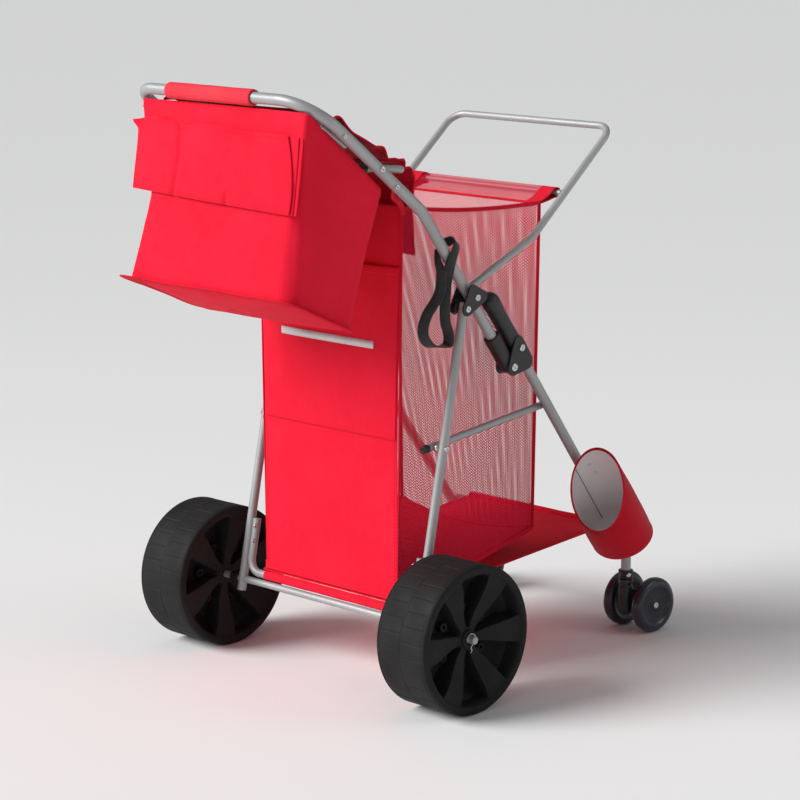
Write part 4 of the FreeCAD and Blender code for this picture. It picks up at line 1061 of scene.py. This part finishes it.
def rear_panel():
    """The solid back of the bag, its long pocket, and the plain pale strip across it."""
    def panel(u, v):
        z = lerp(PANEL_FOOT, PANEL_TOP, v)
        half = lerp(163.5, 176, v) - 6.0 * bell(v) ** 1.3
        x = (2 * u - 1) * half
        edge = bell(u) ** 0.6
        y = BAG_REAR - 1.0 - edge * (1.2 + 2.6 * bell(v)) + edge * (
            2.2 * wobble(x, 0, z, 210, 3) + 0.8 * wobble(x, 0, z, 70, 8))
        return (x, y, z)
    back = sheet("rear_panel", panel, 70, 110, RED, "upper_frame", "red_cloth", 1.6)

    def pouch(u, v):
        z = lerp(POUCH_FOOT, POUCH_TOP, v)
        x, y, _ = panel(u, (z - PANEL_FOOT) / (PANEL_TOP - PANEL_FOOT))
        x *= 0.985
        gape = bell(u) ** 0.7 * v ** 2.5
        return (x, y - 2.2 - 5.0 * gape + 1.2 * wobble(x, 0, z, 60, 5) * bell(u), z - 3 * gape)
    pocket = sheet("rear_panel_pocket", pouch, 60, 60, RED, "upper_frame", "red_cloth", 1.3)
    top = np.array([pouch(u, 1.0) for u in np.linspace(0, 1, 60)])
    low = np.array([pouch(u, 0.0) for u in np.linspace(0, 1, 60)])
    foot = np.array([panel(u, 0.0) for u in np.linspace(0, 1, 60)])
    parts = [strip(top + (0, -0.4, -5), (0, 0, 1), 6.0, 0.9), cord_mesh(foot + (0, -0.4, 0), 2.2, 8),
             strip(foot + (0, -0.9, 7), (0, 0, 1), 6.0, 0.7)]
    mesh_object("rear_panel_hems", *merged(parts), RED, "upper_frame", "red_cloth")
    rows = [stitches(top, lift=(0, -1.9, -9)), stitches(low, lift=(0, -1.0, 2)),
            stitches(foot, lift=(0, -2.0, 11))]
    for u in (0.02, 0.98):
        rows.append(stitches([panel(u, v) for v in np.linspace(0.01, 0.99, 80)], lift=(0, -1.6, 0)))
    mesh_object("rear_panel_stitches", *merged(rows), THREAD, "upper_frame", "red_cloth")
    band = []
    for z in STRIP_EDGES:
        band.append([(x, pouch((x / 165 + 1) / 2,
                               (z - POUCH_FOOT) / (POUCH_TOP - POUCH_FOOT))[1] - 1.35,
                               z) for x in np.linspace(-112, 112, 50)])
    points = np.array(band).transpose(1, 0, 2).reshape(-1, 3)
    tape = mesh_object("reflector_strip", points, grid_faces(50, 2), REFLECTOR, "upper_frame", "red_cloth")
    modifier(tape, "SOLIDIFY", thickness=0.0007, offset=0)


def bag_floor():
    def floor(u, v):
        x = (2 * u - 1) * lerp(161, 163, v)
        y = lerp(BAG_REAR, BAG_FRONT, v)
        low = lerp(158.5, front_hem(x) + 1.0, v)
        edge = hem_height(y)
        z = lerp(edge, low, bell(u) ** 0.5) if v < 1 else front_hem(x) + 1
        return (x, y, z + 1.0 * wobble(x, y, 0, 80, 4) * bell(u) * bell(v))
    base = sheet("bag_floor", floor, 46, 46, RED, "upper_frame", "red_cloth", 1.4)


# ------------------------------------------------------------------ the tote
REAR_TOP, REAR_LOW = np.array([-231.0, 1000.0]), np.array([-269.0, 705.0])
FRONT_LOW, FRONT_TOP = np.array([-127.0, 642.0]), np.array([-67.0, 865.0])
TOTE_HALF = 191.0
SLUMP, SLUMP_RISE, SLUMP_FALL = 24, 0.5, 0.48
WALL_HEIGHT = 297.4
CORNER_STEPS, SIDE_STEPS = [9, 7, 7, 9], [22, 34, 22, 42]
DOWN = (REAR_LOW - REAR_TOP) / np.linalg.norm(REAR_LOW - REAR_TOP)
BACK = np.array([DOWN[1], -DOWN[0]])


def tote_ring(v, grow=0.0):
    """One level section of the tote, from v = 0 at the rim to 1 at the base seam."""
    rear, front = lerp(REAR_TOP, REAR_LOW, v), lerp(FRONT_TOP, FRONT_LOW, v)
    depth = np.linalg.norm(front - rear)
    forward = (front - rear) / depth
    soft = v * v * (3 - 2 * v)
    slump = SLUMP * min(v / SLUMP_RISE, (1 - v) / SLUMP_FALL, 1.0)
    rear_r, left_r, front_r = 7 + 19 * soft, 6.0 + slump, 6 + 10 * soft
    half = TOTE_HALF + 7 * (1 - step(v, 0, 0.5)) + grow
    corners = [
        (half - rear_r, rear_r, rear_r, -90, 0), (half - front_r, depth - front_r, front_r, 0, 90),
        (-half + front_r, depth - front_r, front_r, 90, 180), (-half + left_r, left_r, left_r, 180, 270),
    ]
    loop = []
    for i, ((cx, cd, r, a0, a1), n) in enumerate(zip(corners, CORNER_STEPS)):
        for k in range(n):
            a = math.radians(lerp(a0, a1, k / (n - 1)))
            loop.append((cx + (r + grow) * math.cos(a), cd + (r + grow) * math.sin(a)))
        nx, nd, nr, na, _ = corners[(i + 1) % 4]
        end = loop[-1]
        a = math.radians(na)
        start = (nx + (nr + grow) * math.cos(a), nd + (nr + grow) * math.sin(a))
        for k in range(1, SIDE_STEPS[i]):
            t = k / SIDE_STEPS[i]
            loop.append((lerp(end[0], start[0], t), lerp(end[1], start[1], t)))
    out = []
    for x, d in loop:
        if x < 0 and d < depth * 0.5:
            x += slump * (-x / half) ** 2 * (1 - d / (depth * 0.5))
        side = max(0.0, 1 - (d / depth - 0.5) ** 2 * 4)
        wide = max(0.0, 1 - (x / half) ** 2)
        bulge = bell(min(v * 0.92 + 0.04, 1.0))
        near_rear = 1 - min(max(d / depth, 0), 1)
        push = 9.0 * (near_rear > 0.5) - 5.0 * (near_rear <= 0.5)
        d_shift = -wide * bulge * push if d < 4 or d > depth - 4 else 0
        x_shift = math.copysign(5.5 * side * bulge, x) if abs(x) > half - 4 else 0
        y, z = rear + forward * (d + d_shift)
        px = x + x_shift
        rough = 1.1 * wobble(px, y, z, 90, 2) + 0.45 * wobble(px, y, z, 34, 6)
        out.append((px + rough * (1 if abs(x) > half - 4 else 0), y + rough * (d < 4), z))
    return np.array(out)


def tote():
    levels = 46
    rings = [tote_ring(i / (levels - 1)) for i in range(levels)]
    n = len(rings[0])
    shell = mesh_object("tote_shell", np.concatenate(rings), grid_faces(levels, n, False, True),
                        RED, "upper_frame", "red_cloth")
    modifier(shell, "SOLIDIFY", thickness=0.0018, offset=-1)
    modifier(shell, "SUBSURF", levels=1, render_levels=1)
    drop = np.linalg.norm(REAR_LOW - REAR_TOP)
    last = rings[-1]
    centre = last.mean(0)
    normal = np.array([0, *(FRONT_LOW - REAR_LOW)[::-1]]) * (1, 1, -1)
    normal /= np.linalg.norm(normal)
    if normal[2] > 0:
        normal = -normal
    ring_count = 16
    points = []
    for k in range(ring_count):
        t = k / (ring_count - 1)
        spread = 1 - t * 0.985
        for p in last:
            flat = centre + (p - centre) * spread
            drop = 17 * (1 - spread ** 2.4) * (1 - 0.25 * t)
            points.append(flat + normal * (drop + 1.0 * wobble(*flat, 70, 3) * t * (1 - t) * 4))
    faces = grid_faces(ring_count, n, False, True)
    faces.append(tuple(range((ring_count - 1) * n, ring_count * n))[::-1])
    base = mesh_object("tote_base", points, faces, RED, "upper_frame", "red_cloth")
    modifier(base, "SOLIDIFY", thickness=0.0016, offset=1)

    # the seam flange that stands out round the base
    outer = tote_ring(1.0, 7.5)
    corner = np.array([-TOTE_HALF, *REAR_LOW])
    fin = []
    for a, b in zip(last, outer):
        reach = 1 + 1.1 * math.exp(-((np.linalg.norm(b - corner) / 26) ** 2))
        rear = b[1] < (REAR_LOW[0] + 30)
        drop = normal * (2.0 + 1.6 * wobble(*b, 60, 5))
        step_out = (b - a) * reach * (1.0 if rear else 0.62)
        fin += [a - step_out * 0.1, a + step_out * 0.5 + drop * 0.3, a + step_out + drop]
    flange = mesh_object("tote_flange", fin, grid_faces(n, 3, True, False), RED_TRIM, "upper_frame",
                         "red_cloth")
    modifier(flange, "SOLIDIFY", thickness=0.0030, offset=0)
    modifier(flange, "SUBSURF", levels=1, render_levels=1)

    rim = tote_ring(0.0)
    closed = np.concatenate([rim, rim[:1]])
    parts = [strip(closed - (0, 0, 4), (0, 0, 1), 6.0, 1.2)]
    corner_at = [sum(CORNER_STEPS[:i]) + sum(SIDE_STEPS[:i]) + CORNER_STEPS[i] // 2 for i in range(4)]
    for index in corner_at:
        parts.append(cord_mesh([r[index] for r in rings[1:-1]], 1.3, 8))
    bar = [(x, -222, 992) for x in np.linspace(-164, 164, 60)]
    parts.append(cord_mesh(bar, [8 + 0.4 * wobble(x, 0, 0, 40, 2) for x, _, _ in bar], 24))
    mesh_object("tote_bindings", *merged(parts), RED, "upper_frame", "red_cloth")
    rows = [stitches(closed, lift=(0, -0.4, -11))]
    for index in corner_at:
        for shift in (-3, 3):
            rows.append(stitches([r[(index + shift) % n] * (1.003, 1.003, 1) for r in rings[1:-1]], 7))
    mesh_object("tote_stitches", *merged(rows), THREAD, "upper_frame", "red_cloth")
    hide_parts("tote")


def on_tote_back(x, down, out):
    """A point on the tote's rear wall: down from its rim and out behind it."""
    y, z = REAR_TOP + DOWN * down + BACK * out
    return (x, y, z)


def wall_out(x, down):
    """How far the rear wall itself bulges there."""
    v = min(max(down / WALL_HEIGHT, 0), 1)
    return 9.0 * max(0.0, 1 - (x / TOTE_HALF) ** 2) * bell(v * 0.92 + 0.04)


def rear_pocket():
    def layer(right_top, right_mid, right_low, out, top_shift, wave):
        def shape(u, v):
            left = -203 + 9.5 * step(v, 0, 0.13) - 3.5 * step(v, 0.2, 0.9)
            right = (right_top * (1 - v) * (1 - 2 * v) + right_mid * 4 * v * (1 - v)
                     + right_low * v * (2 * v - 1))
            x = lerp(left, right, u)
            crest = -9 * math.exp(-(((u - 0.13) / 0.11) ** 2)) - 4.5 * math.exp(-(((u - 0.52) / 0.16) ** 2))
            start = 35 + crest + top_shift + 1.6 * math.sin(u * 19 + 1) * (1 - u)
            down = lerp(start, lerp(148, 161, u), v)
            seam = 3.4 * math.exp(-(((u - divider(v)) / 0.016) ** 2))
            short = 2.6 * math.exp(-(((u - 0.63) / 0.014) ** 2)) * step(v, 0.78, 0.9)
            puff = 5.5 * bell(v) ** 0.8 * bell(u) ** 0.5 + 2.2 * wave * (1 - v) * math.sin(u * 15)
            fold = 6 * math.exp(-((u / 0.035) ** 2)) * (1 - step(v, 0, 0.16))
            rough = 1.2 * wobble(x, 0, down, 80, 4) + 0.5 * wobble(x, 0, down, 28, 9)
            lift = out + puff - seam - short + fold + rough + wall_out(x, down)
            return on_tote_back(x, down, float(lift))
        return shape

    def divider(v):
        return 0.294 + 0.016 * math.sin(math.pi * v * 1.1) - 0.004 * v

    shape = layer(168, 185, 184, 7.5, 0, 1)
    front = sheet("pocket_front", shape, 150, 60, RED, "upper_frame", "red_cloth", 1.4)
    middle = sheet("pocket_middle", layer(189, 191, 189, 4.2, 1.5, 0.5), 90, 40, RED, "upper_frame",
                   "red_cloth", 1.2)
    back = sheet("pocket_back", layer(196, 197, 195, 1.8, 3.0, 0.2), 90, 40, RED, "upper_frame",
                 "red_cloth", 1.2)
    lines = [
        [shape(divider(v), v) for v in np.linspace(0.01, 0.99, 40)],
        [shape(0.63, v) for v in np.linspace(0.87, 0.99, 8)],
        [shape(u, 0.965) for u in np.linspace(0.01, 0.99, 120)],
        [shape(u, 0.05) for u in np.linspace(0.02, 0.99, 120)],
    ]
    rows = [stitches(line, 5.5, 3.6, 0.5, (0, -1.1, 0)) for line in lines]
    mesh_object("pocket_stitches", *merged(rows), THREAD, "upper_frame", "red_cloth")
    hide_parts("tote_pocket")


# ------------------------------------------------------------------ the lid
LID_LINE = [(-206, 1003), (-168, 996), (-128, 977), (-60, 939), (-25, 918), (2, 907), (21, 895),
            (33, 868), (37.8, 838)]
APRON_LINE = [(33, 868), (43, 805), (48, 746)]


def lid():
    spine = smooth_line([(0, y, z) for y, z in LID_LINE], 100)

    def cover(u, v):
        _, y, z = spine[min(int(v * 99), 99)]
        s = 2 * u - 1
        ruffle = abs(s) ** 5 * (3.6 * math.sin(v * 31 + 0.6 * s) + 2.0 * math.sin(v * 57 + s))
        sag = -7 * bell(v) * (1 - s * s) * (1 - abs(s) ** 4)
        x = s * (173 + 2.2 * math.sin(v * 29 + 2 * s) * abs(s))
        lift = 5.5 * abs(s) ** 8 * step(v, 0.66, 0.84) * (1 - step(v, 0.86, 0.98))
        return (x, y + 0.25 * ruffle, z + ruffle + sag + lift + 1.0 * wobble(x, y, z, 60, 7))
    # the cover and apron take the red cloth with painted shade in its colour
    top = sheet("lid_cover", cover, 70, 100, RED_PAINTED_SHADE, "lid", "red_cloth", 1.6)

    drop = smooth_line([(0, y, z) for y, z in APRON_LINE], 50)

    def apron(u, v):
        _, y, z = drop[min(int(v * 49), 49)]
        s = 2 * u - 1
        wave = 2.6 * v * math.sin(s * 9 + 1.0) + 1.2 * wobble(s * 165, 0, z, 50, 1) * v
        return (s * 164.5, y + wave, z)
    hang = sheet("lid_apron", apron, 70, 40, RED_PAINTED_SHADE, "lid", "red_cloth", 1.4)
    parts, rows = [], []
    for u in (0, 1):
        line = np.array([cover(u, v) for v in np.linspace(0, 1, 110)])
        parts.append(cord_mesh(line, 2.0, 8))
        inner = np.array([cover(0.035 if u == 0 else 0.965, v) for v in np.linspace(0.01, 0.99, 90)])
        rows += [stitches(inner, lift=(0, 0, 1.1)), stitches(inner, lift=(0, 0, -1.1))]
    end = np.array([apron(u, 1.0) for u in np.linspace(0, 1, 70)])
    parts += [strip(end + (0, 0, 5), (0, 0, 1), 6, 1.0),
              cord_mesh([cover(u, 1.0) for u in np.linspace(0, 1, 70)], 1.8, 8)]
    mesh_object("lid_piping", *merged(parts), RED_TRIM, "lid", "red_cloth")
    mesh_object("lid_stitches", *merged(rows), THREAD, "lid", "red_cloth")
    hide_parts("lid")


# ------------------------------------------------------------------ the platform
LOWER_BAR, FRONT_BAR = (3.3, 143.0), (549, 195.2)


def platform():
    rear, front = np.array([3.0, 152.4]), np.array([549.0, 195.6])

    def cloth(u, v):
        y, z = lerp(rear, front, v)
        s = 2 * u - 1
        pull = 171.5 - 3.5 * bell(v)
        dip = -2.5 * bell(v) * (1 - s * s)
        crease = 0.7 * wobble(s * 171, y, 0, 90, 5) + 0.4 * wobble(s * 171, y * 0.3, 0, 25, 2)
        return (s * pull, y, z + dip + crease * bell(u) * bell(v))
    base = sheet("platform_cloth", cloth, 60, 90, RED, None, "red_cloth", 1.5)
    sleeves, rows = [], []
    for end, centre in ((0.0, LOWER_BAR), (1.0, FRONT_BAR)):
        y, z = lerp(rear, front, end)
        grid = []
        turns = np.linspace(0, 2 * math.pi, 28, endpoint=False)
        radius = 7.6 if end else 8.2
        reach = 170.5 if end else 160.0
        for x in np.linspace(-reach, reach, 60):
            for a in turns:
                r = radius + 0.5 * wobble(x, 20 * math.cos(a), 20 * math.sin(a), 40, end)
                grid.append((x, centre[0] + r * math.cos(a), centre[1] + r * math.sin(a)))
        sleeves.append((grid, grid_faces(60, 28, False, True)))
        near = 0.035 if end == 0 else 0.965
        rows.append(stitches([cloth(u, near) for u in np.linspace(0.01, 0.99, 90)], lift=(0, 0, 1.1)))
    for u in (0.0, 1.0):
        line = np.array([cloth(u, v) for v in np.linspace(0.01, 0.99, 90)])
        sleeves.append(strip(line + ((4.6 if u == 0 else -4.6), 0, 0), (1, 0, 0), 5.0, 1.1))
        rows.append(stitches([cloth(abs(u - 0.028), v) for v in np.linspace(0.02, 0.98, 90)],
                             lift=(0, 0, 1.6)))
    sleeve_front = sleeves.pop(1)
    hems = mesh_object("platform_hems", *merged(sleeves), RED, "front_legs", "red_cloth")
    roll = mesh_object("platform_front_sleeve", *sleeve_front, RED, "front_legs", "red_cloth")
    seams = mesh_object("platform_stitches", *merged(rows), THREAD, "front_legs", "red_cloth")
    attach(base, "front_legs")
    for piece in (base, hems, roll, seams):
        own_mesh(piece)
    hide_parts("platform")


# ------------------------------------------------------------------ the cup pouch
def cup_pouch():
    x0, wide, deep, length = 281.8, 62.0, 50.0, 124.0
    centre = beside(FOLD, 281.5, -12.8)
    around = 88

    def ring(s_share, inset, end):
        """Points round the pouch; 0 is the mouth, 1 the far end."""
        out = []
        for k in range(around):
            a = 2 * math.pi * k / around
            b = deep - inset
            mouth = -b * math.sin(a) * 1.149
            s = lerp(mouth, end, s_share)
            belly = 1.6 * bell(s_share) + 0.7 * wobble(60 * math.cos(a), 60 * math.sin(a), s, 45, inset)
            rx, ro = (wide - inset + belly), (b + belly)
            y, z = beside(centre, s, ro * math.sin(a))
            out.append((x0 + rx * math.cos(a), y, z))
        return out

    def capped(inset, end):
        rows = [ring(t, inset, end=end) for t in np.linspace(0, 0.90, 26)]
        for t in np.linspace(0, math.pi / 2, 8)[1:]:
            r = 11.0
            rows.append([
                (x0 + (p[0] - x0) * k, *(np.array(beside(centre, end - r + r * math.sin(t), 0))
                                         + (np.array(p[1:]) - np.array(beside(centre, end * 0.9, 0)))
                                         * k)) for p, k in
                [(q, 1 - (r / wide) * (1 - math.cos(t))) for q in rows[25]]])
        for k in (0.6, 0.3, 0.02):
            floor = np.array([x0, *beside(centre, end + (1.5 * (1 - k)), 0)])
            rows.append([tuple(floor + (np.array(p) - np.array([x0,
                                                                *beside(centre, end,
                                                                        0)])) * k) for p in rows[32]])
        return rows

    outer_rows = capped(0.0, length)
    inner_rows = capped(3.6, length - 4.5)
    # the pouch's outer shell takes the red cloth with painted shade in its colour
    outer = mesh_object("cup_shell", np.concatenate(outer_rows),
                        grid_faces(len(outer_rows), around, False, True),
                        RED_PAINTED_SHADE, "front_legs", "red_cloth")
    inner = mesh_object("cup_lining", np.concatenate(inner_rows),
                        grid_faces(len(inner_rows), around, False, True),
                        LINING, "front_legs", "red_cloth")
    rim = (np.array(outer_rows[0]) + np.array(inner_rows[0])) / 2
    parts = [cord_mesh(rim, 1.8, 12, True)]
    base_line = np.array(outer_rows[27])
    parts.append(cord_mesh(base_line, 1.2, 8, True))
    mesh_object("cup_piping", *merged(parts), RED_TRIM, "front_legs", "red_cloth")
    seam_at = int(around * 0.44)
    seam = [row[seam_at] for row in inner_rows[:26]]
    middle = np.array([x0, *beside(centre, 50, 0)])
    seam = [np.array(p) + (middle - np.array(p)) * 0.012 for p in seam]
    mesh_object("cup_lining_seam", *cord_mesh(seam, 0.8, 8), LINING_SEAM, "front_legs", "red_cloth")
    rows = [stitches(np.concatenate([outer_rows[2], outer_rows[2][:1]]), 5.5)]
    outside_seam = [row[int(around * 0.78)] for row in outer_rows[1:26]]
    rows.append(stitches(outside_seam, 5.5))
    mesh_object("cup_stitches", *merged(rows), THREAD, "front_legs", "red_cloth")
    studs = []
    for share, row in ((0.36, 4), (0.35, 8)):
        k = int(around * share)
        p = np.array(inner_rows[row][k])
        inward = np.array([x0, *beside(centre, 20, 0)]) - p
        inward /= np.linalg.norm(inward)
        profile = [(-0.5, 0.2), (-0.5, 4.0), (0.6, 4.2), (1.5, 3.2), (1.8, 1.6), (1.2, 0.8), (1.2, 0.2)]
        studs.append(turned(profile, 24, p, inward))
    mesh_object("cup_snaps", *merged(studs), EYELET, "front_legs", "red_cloth")
    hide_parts("cup_holder")


# ------------------------------------------------------------------ straps and grip
WRAP_Z, WRAP_REACH = 760, 34


def straps():
    for side, sign in SIDES:
        line = smooth_line([(sign * 215, -52, 874.5), (sign * 205, -46, 866), (sign * 193, -34, 853),
                            (sign * 184, -14, 843), (sign * 176.5, 2, 832), (sign * 174.5, 8, 818)], 40)
        tab = strip(line, (0, 0.8, 0.6), 5.0, 1.2)
        piece = mesh_object(f"bag_tab_cloth_{side}", *tab, RED, "upper_frame", "red_cloth")
        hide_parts(f"bag_tab_{side}")
        rows = stitches(line[2:-2], 5, 3.4, 0.5, (sign * 1.3, 0, 0.6))
        mesh_object(f"bag_tab_stitch_{side}", *rows, THREAD, "upper_frame", "red_cloth")
    # the right side's hanging loop: it goes over the tube, crosses itself and hangs
    x = RAIL_X
    path = [
        (x + 9.5, 61.6, 673), (x + 10.5, 64, 703), (x + 12.5, 71, 733), (x + 13.5, 84, 760),
        (x + 9, 86, 771),
        (x - 2, 84, 770), (x - 12, 78, 762), (x - 13.5, 68, 748), (x - 3, 60, 733), (x + 6, 57, 720),
        (x + 7.5, 52, 691.5), (x + 7.5, 41.5, 675), (x + 7, 22.9, 655.6), (x + 6, 13.6, 635),
        (x + 6, 14.9, 617),
        (x + 7, 29.3, 601.4), (x + 8, 57.6, 596.4), (x + 8, 71.5, 601), (x + 8, 71.4, 619),
        (x + 8.5, 63.7, 637.5),
    ]
    line = smooth_line(path, 200, True)
    tangents = np.roll(line, -1, 0) - np.roll(line, 1, 0)
    tangents /= np.linalg.norm(tangents, axis=1)[:, None]
    # the webbing lies along the tube where it wraps it, and faces outward where it hangs
    wrap = np.array([math.exp(-((p[2] - WRAP_Z) / WRAP_REACH) ** 2) for p in line])[:, None]
    across = np.array([0, *ALONG]) * wrap + (1 - wrap) * np.array([0.72, 0.69, 0.0])
    across = across - tangents * np.sum(across * tangents, 1)[:, None]
    across = across / np.linalg.norm(across, axis=1)[:, None]
    out = np.cross(tangents, across)
    section = [(-1, -0.4), (-0.9, -1), (0.9, -1), (1, -0.4), (1, 0.4), (0.9, 1), (-0.9, 1), (-1, 0.4)]
    rings = np.stack([line + across * a * 9.0 + out * b * 1.3 for a, b in section], 1)
    loop = mesh_object("strap_webbing", rings.reshape(-1, 3), grid_faces(len(line), 8, True, True), STRAP,
                       "upper_frame", "black_webbing")
    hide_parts("hanging_strap")


def hand_grip():
    low, high = -125.0, 79.0
    points = []
    profile = [(0.0, 10.4), (0.0, 12.4), (0.9, 13.3), (2.6, 13.6)]
    stations = [(low + a, r) for a, r in profile]
    stations += [(x, 13.6) for x in np.linspace(low + 5, high - 5, 90)]
    stations += [(high - a, r) for a, r in profile[::-1]]
    section = 84
    for x, r in stations:
        for k in range(section):
            a = 2 * math.pi * k / section
            inner = 1.0 if low + 4 < x < high - 4 else 0.3
            groove = (0.55 * wobble(x * 0.16, 34 * math.cos(a), 34 * math.sin(a), 9, 3)
                      + 0.35 * wobble(x * 0.4, 40 * math.cos(a), 40 * math.sin(a), 17, 6)) * inner
            rr = r + groove
            points.append((x, HANDLE[0] + rr * math.cos(a), HANDLE[1] + rr * math.sin(a)))
    faces = grid_faces(len(stations), section, False, True)
    grip = mesh_object("grip_foam", points, faces, RED_GRIP, "upper_frame", grip_slot())
    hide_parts("hand_grip")


def grip_slot():
    return next(s["material_slot"] for s in frame["record"]["subparts"] if s["node"] == "hand_grip")


bag()
rear_panel()
tote()
rear_pocket()
lid()
platform()
bag_floor()
cup_pouch()
straps()
hand_grip()
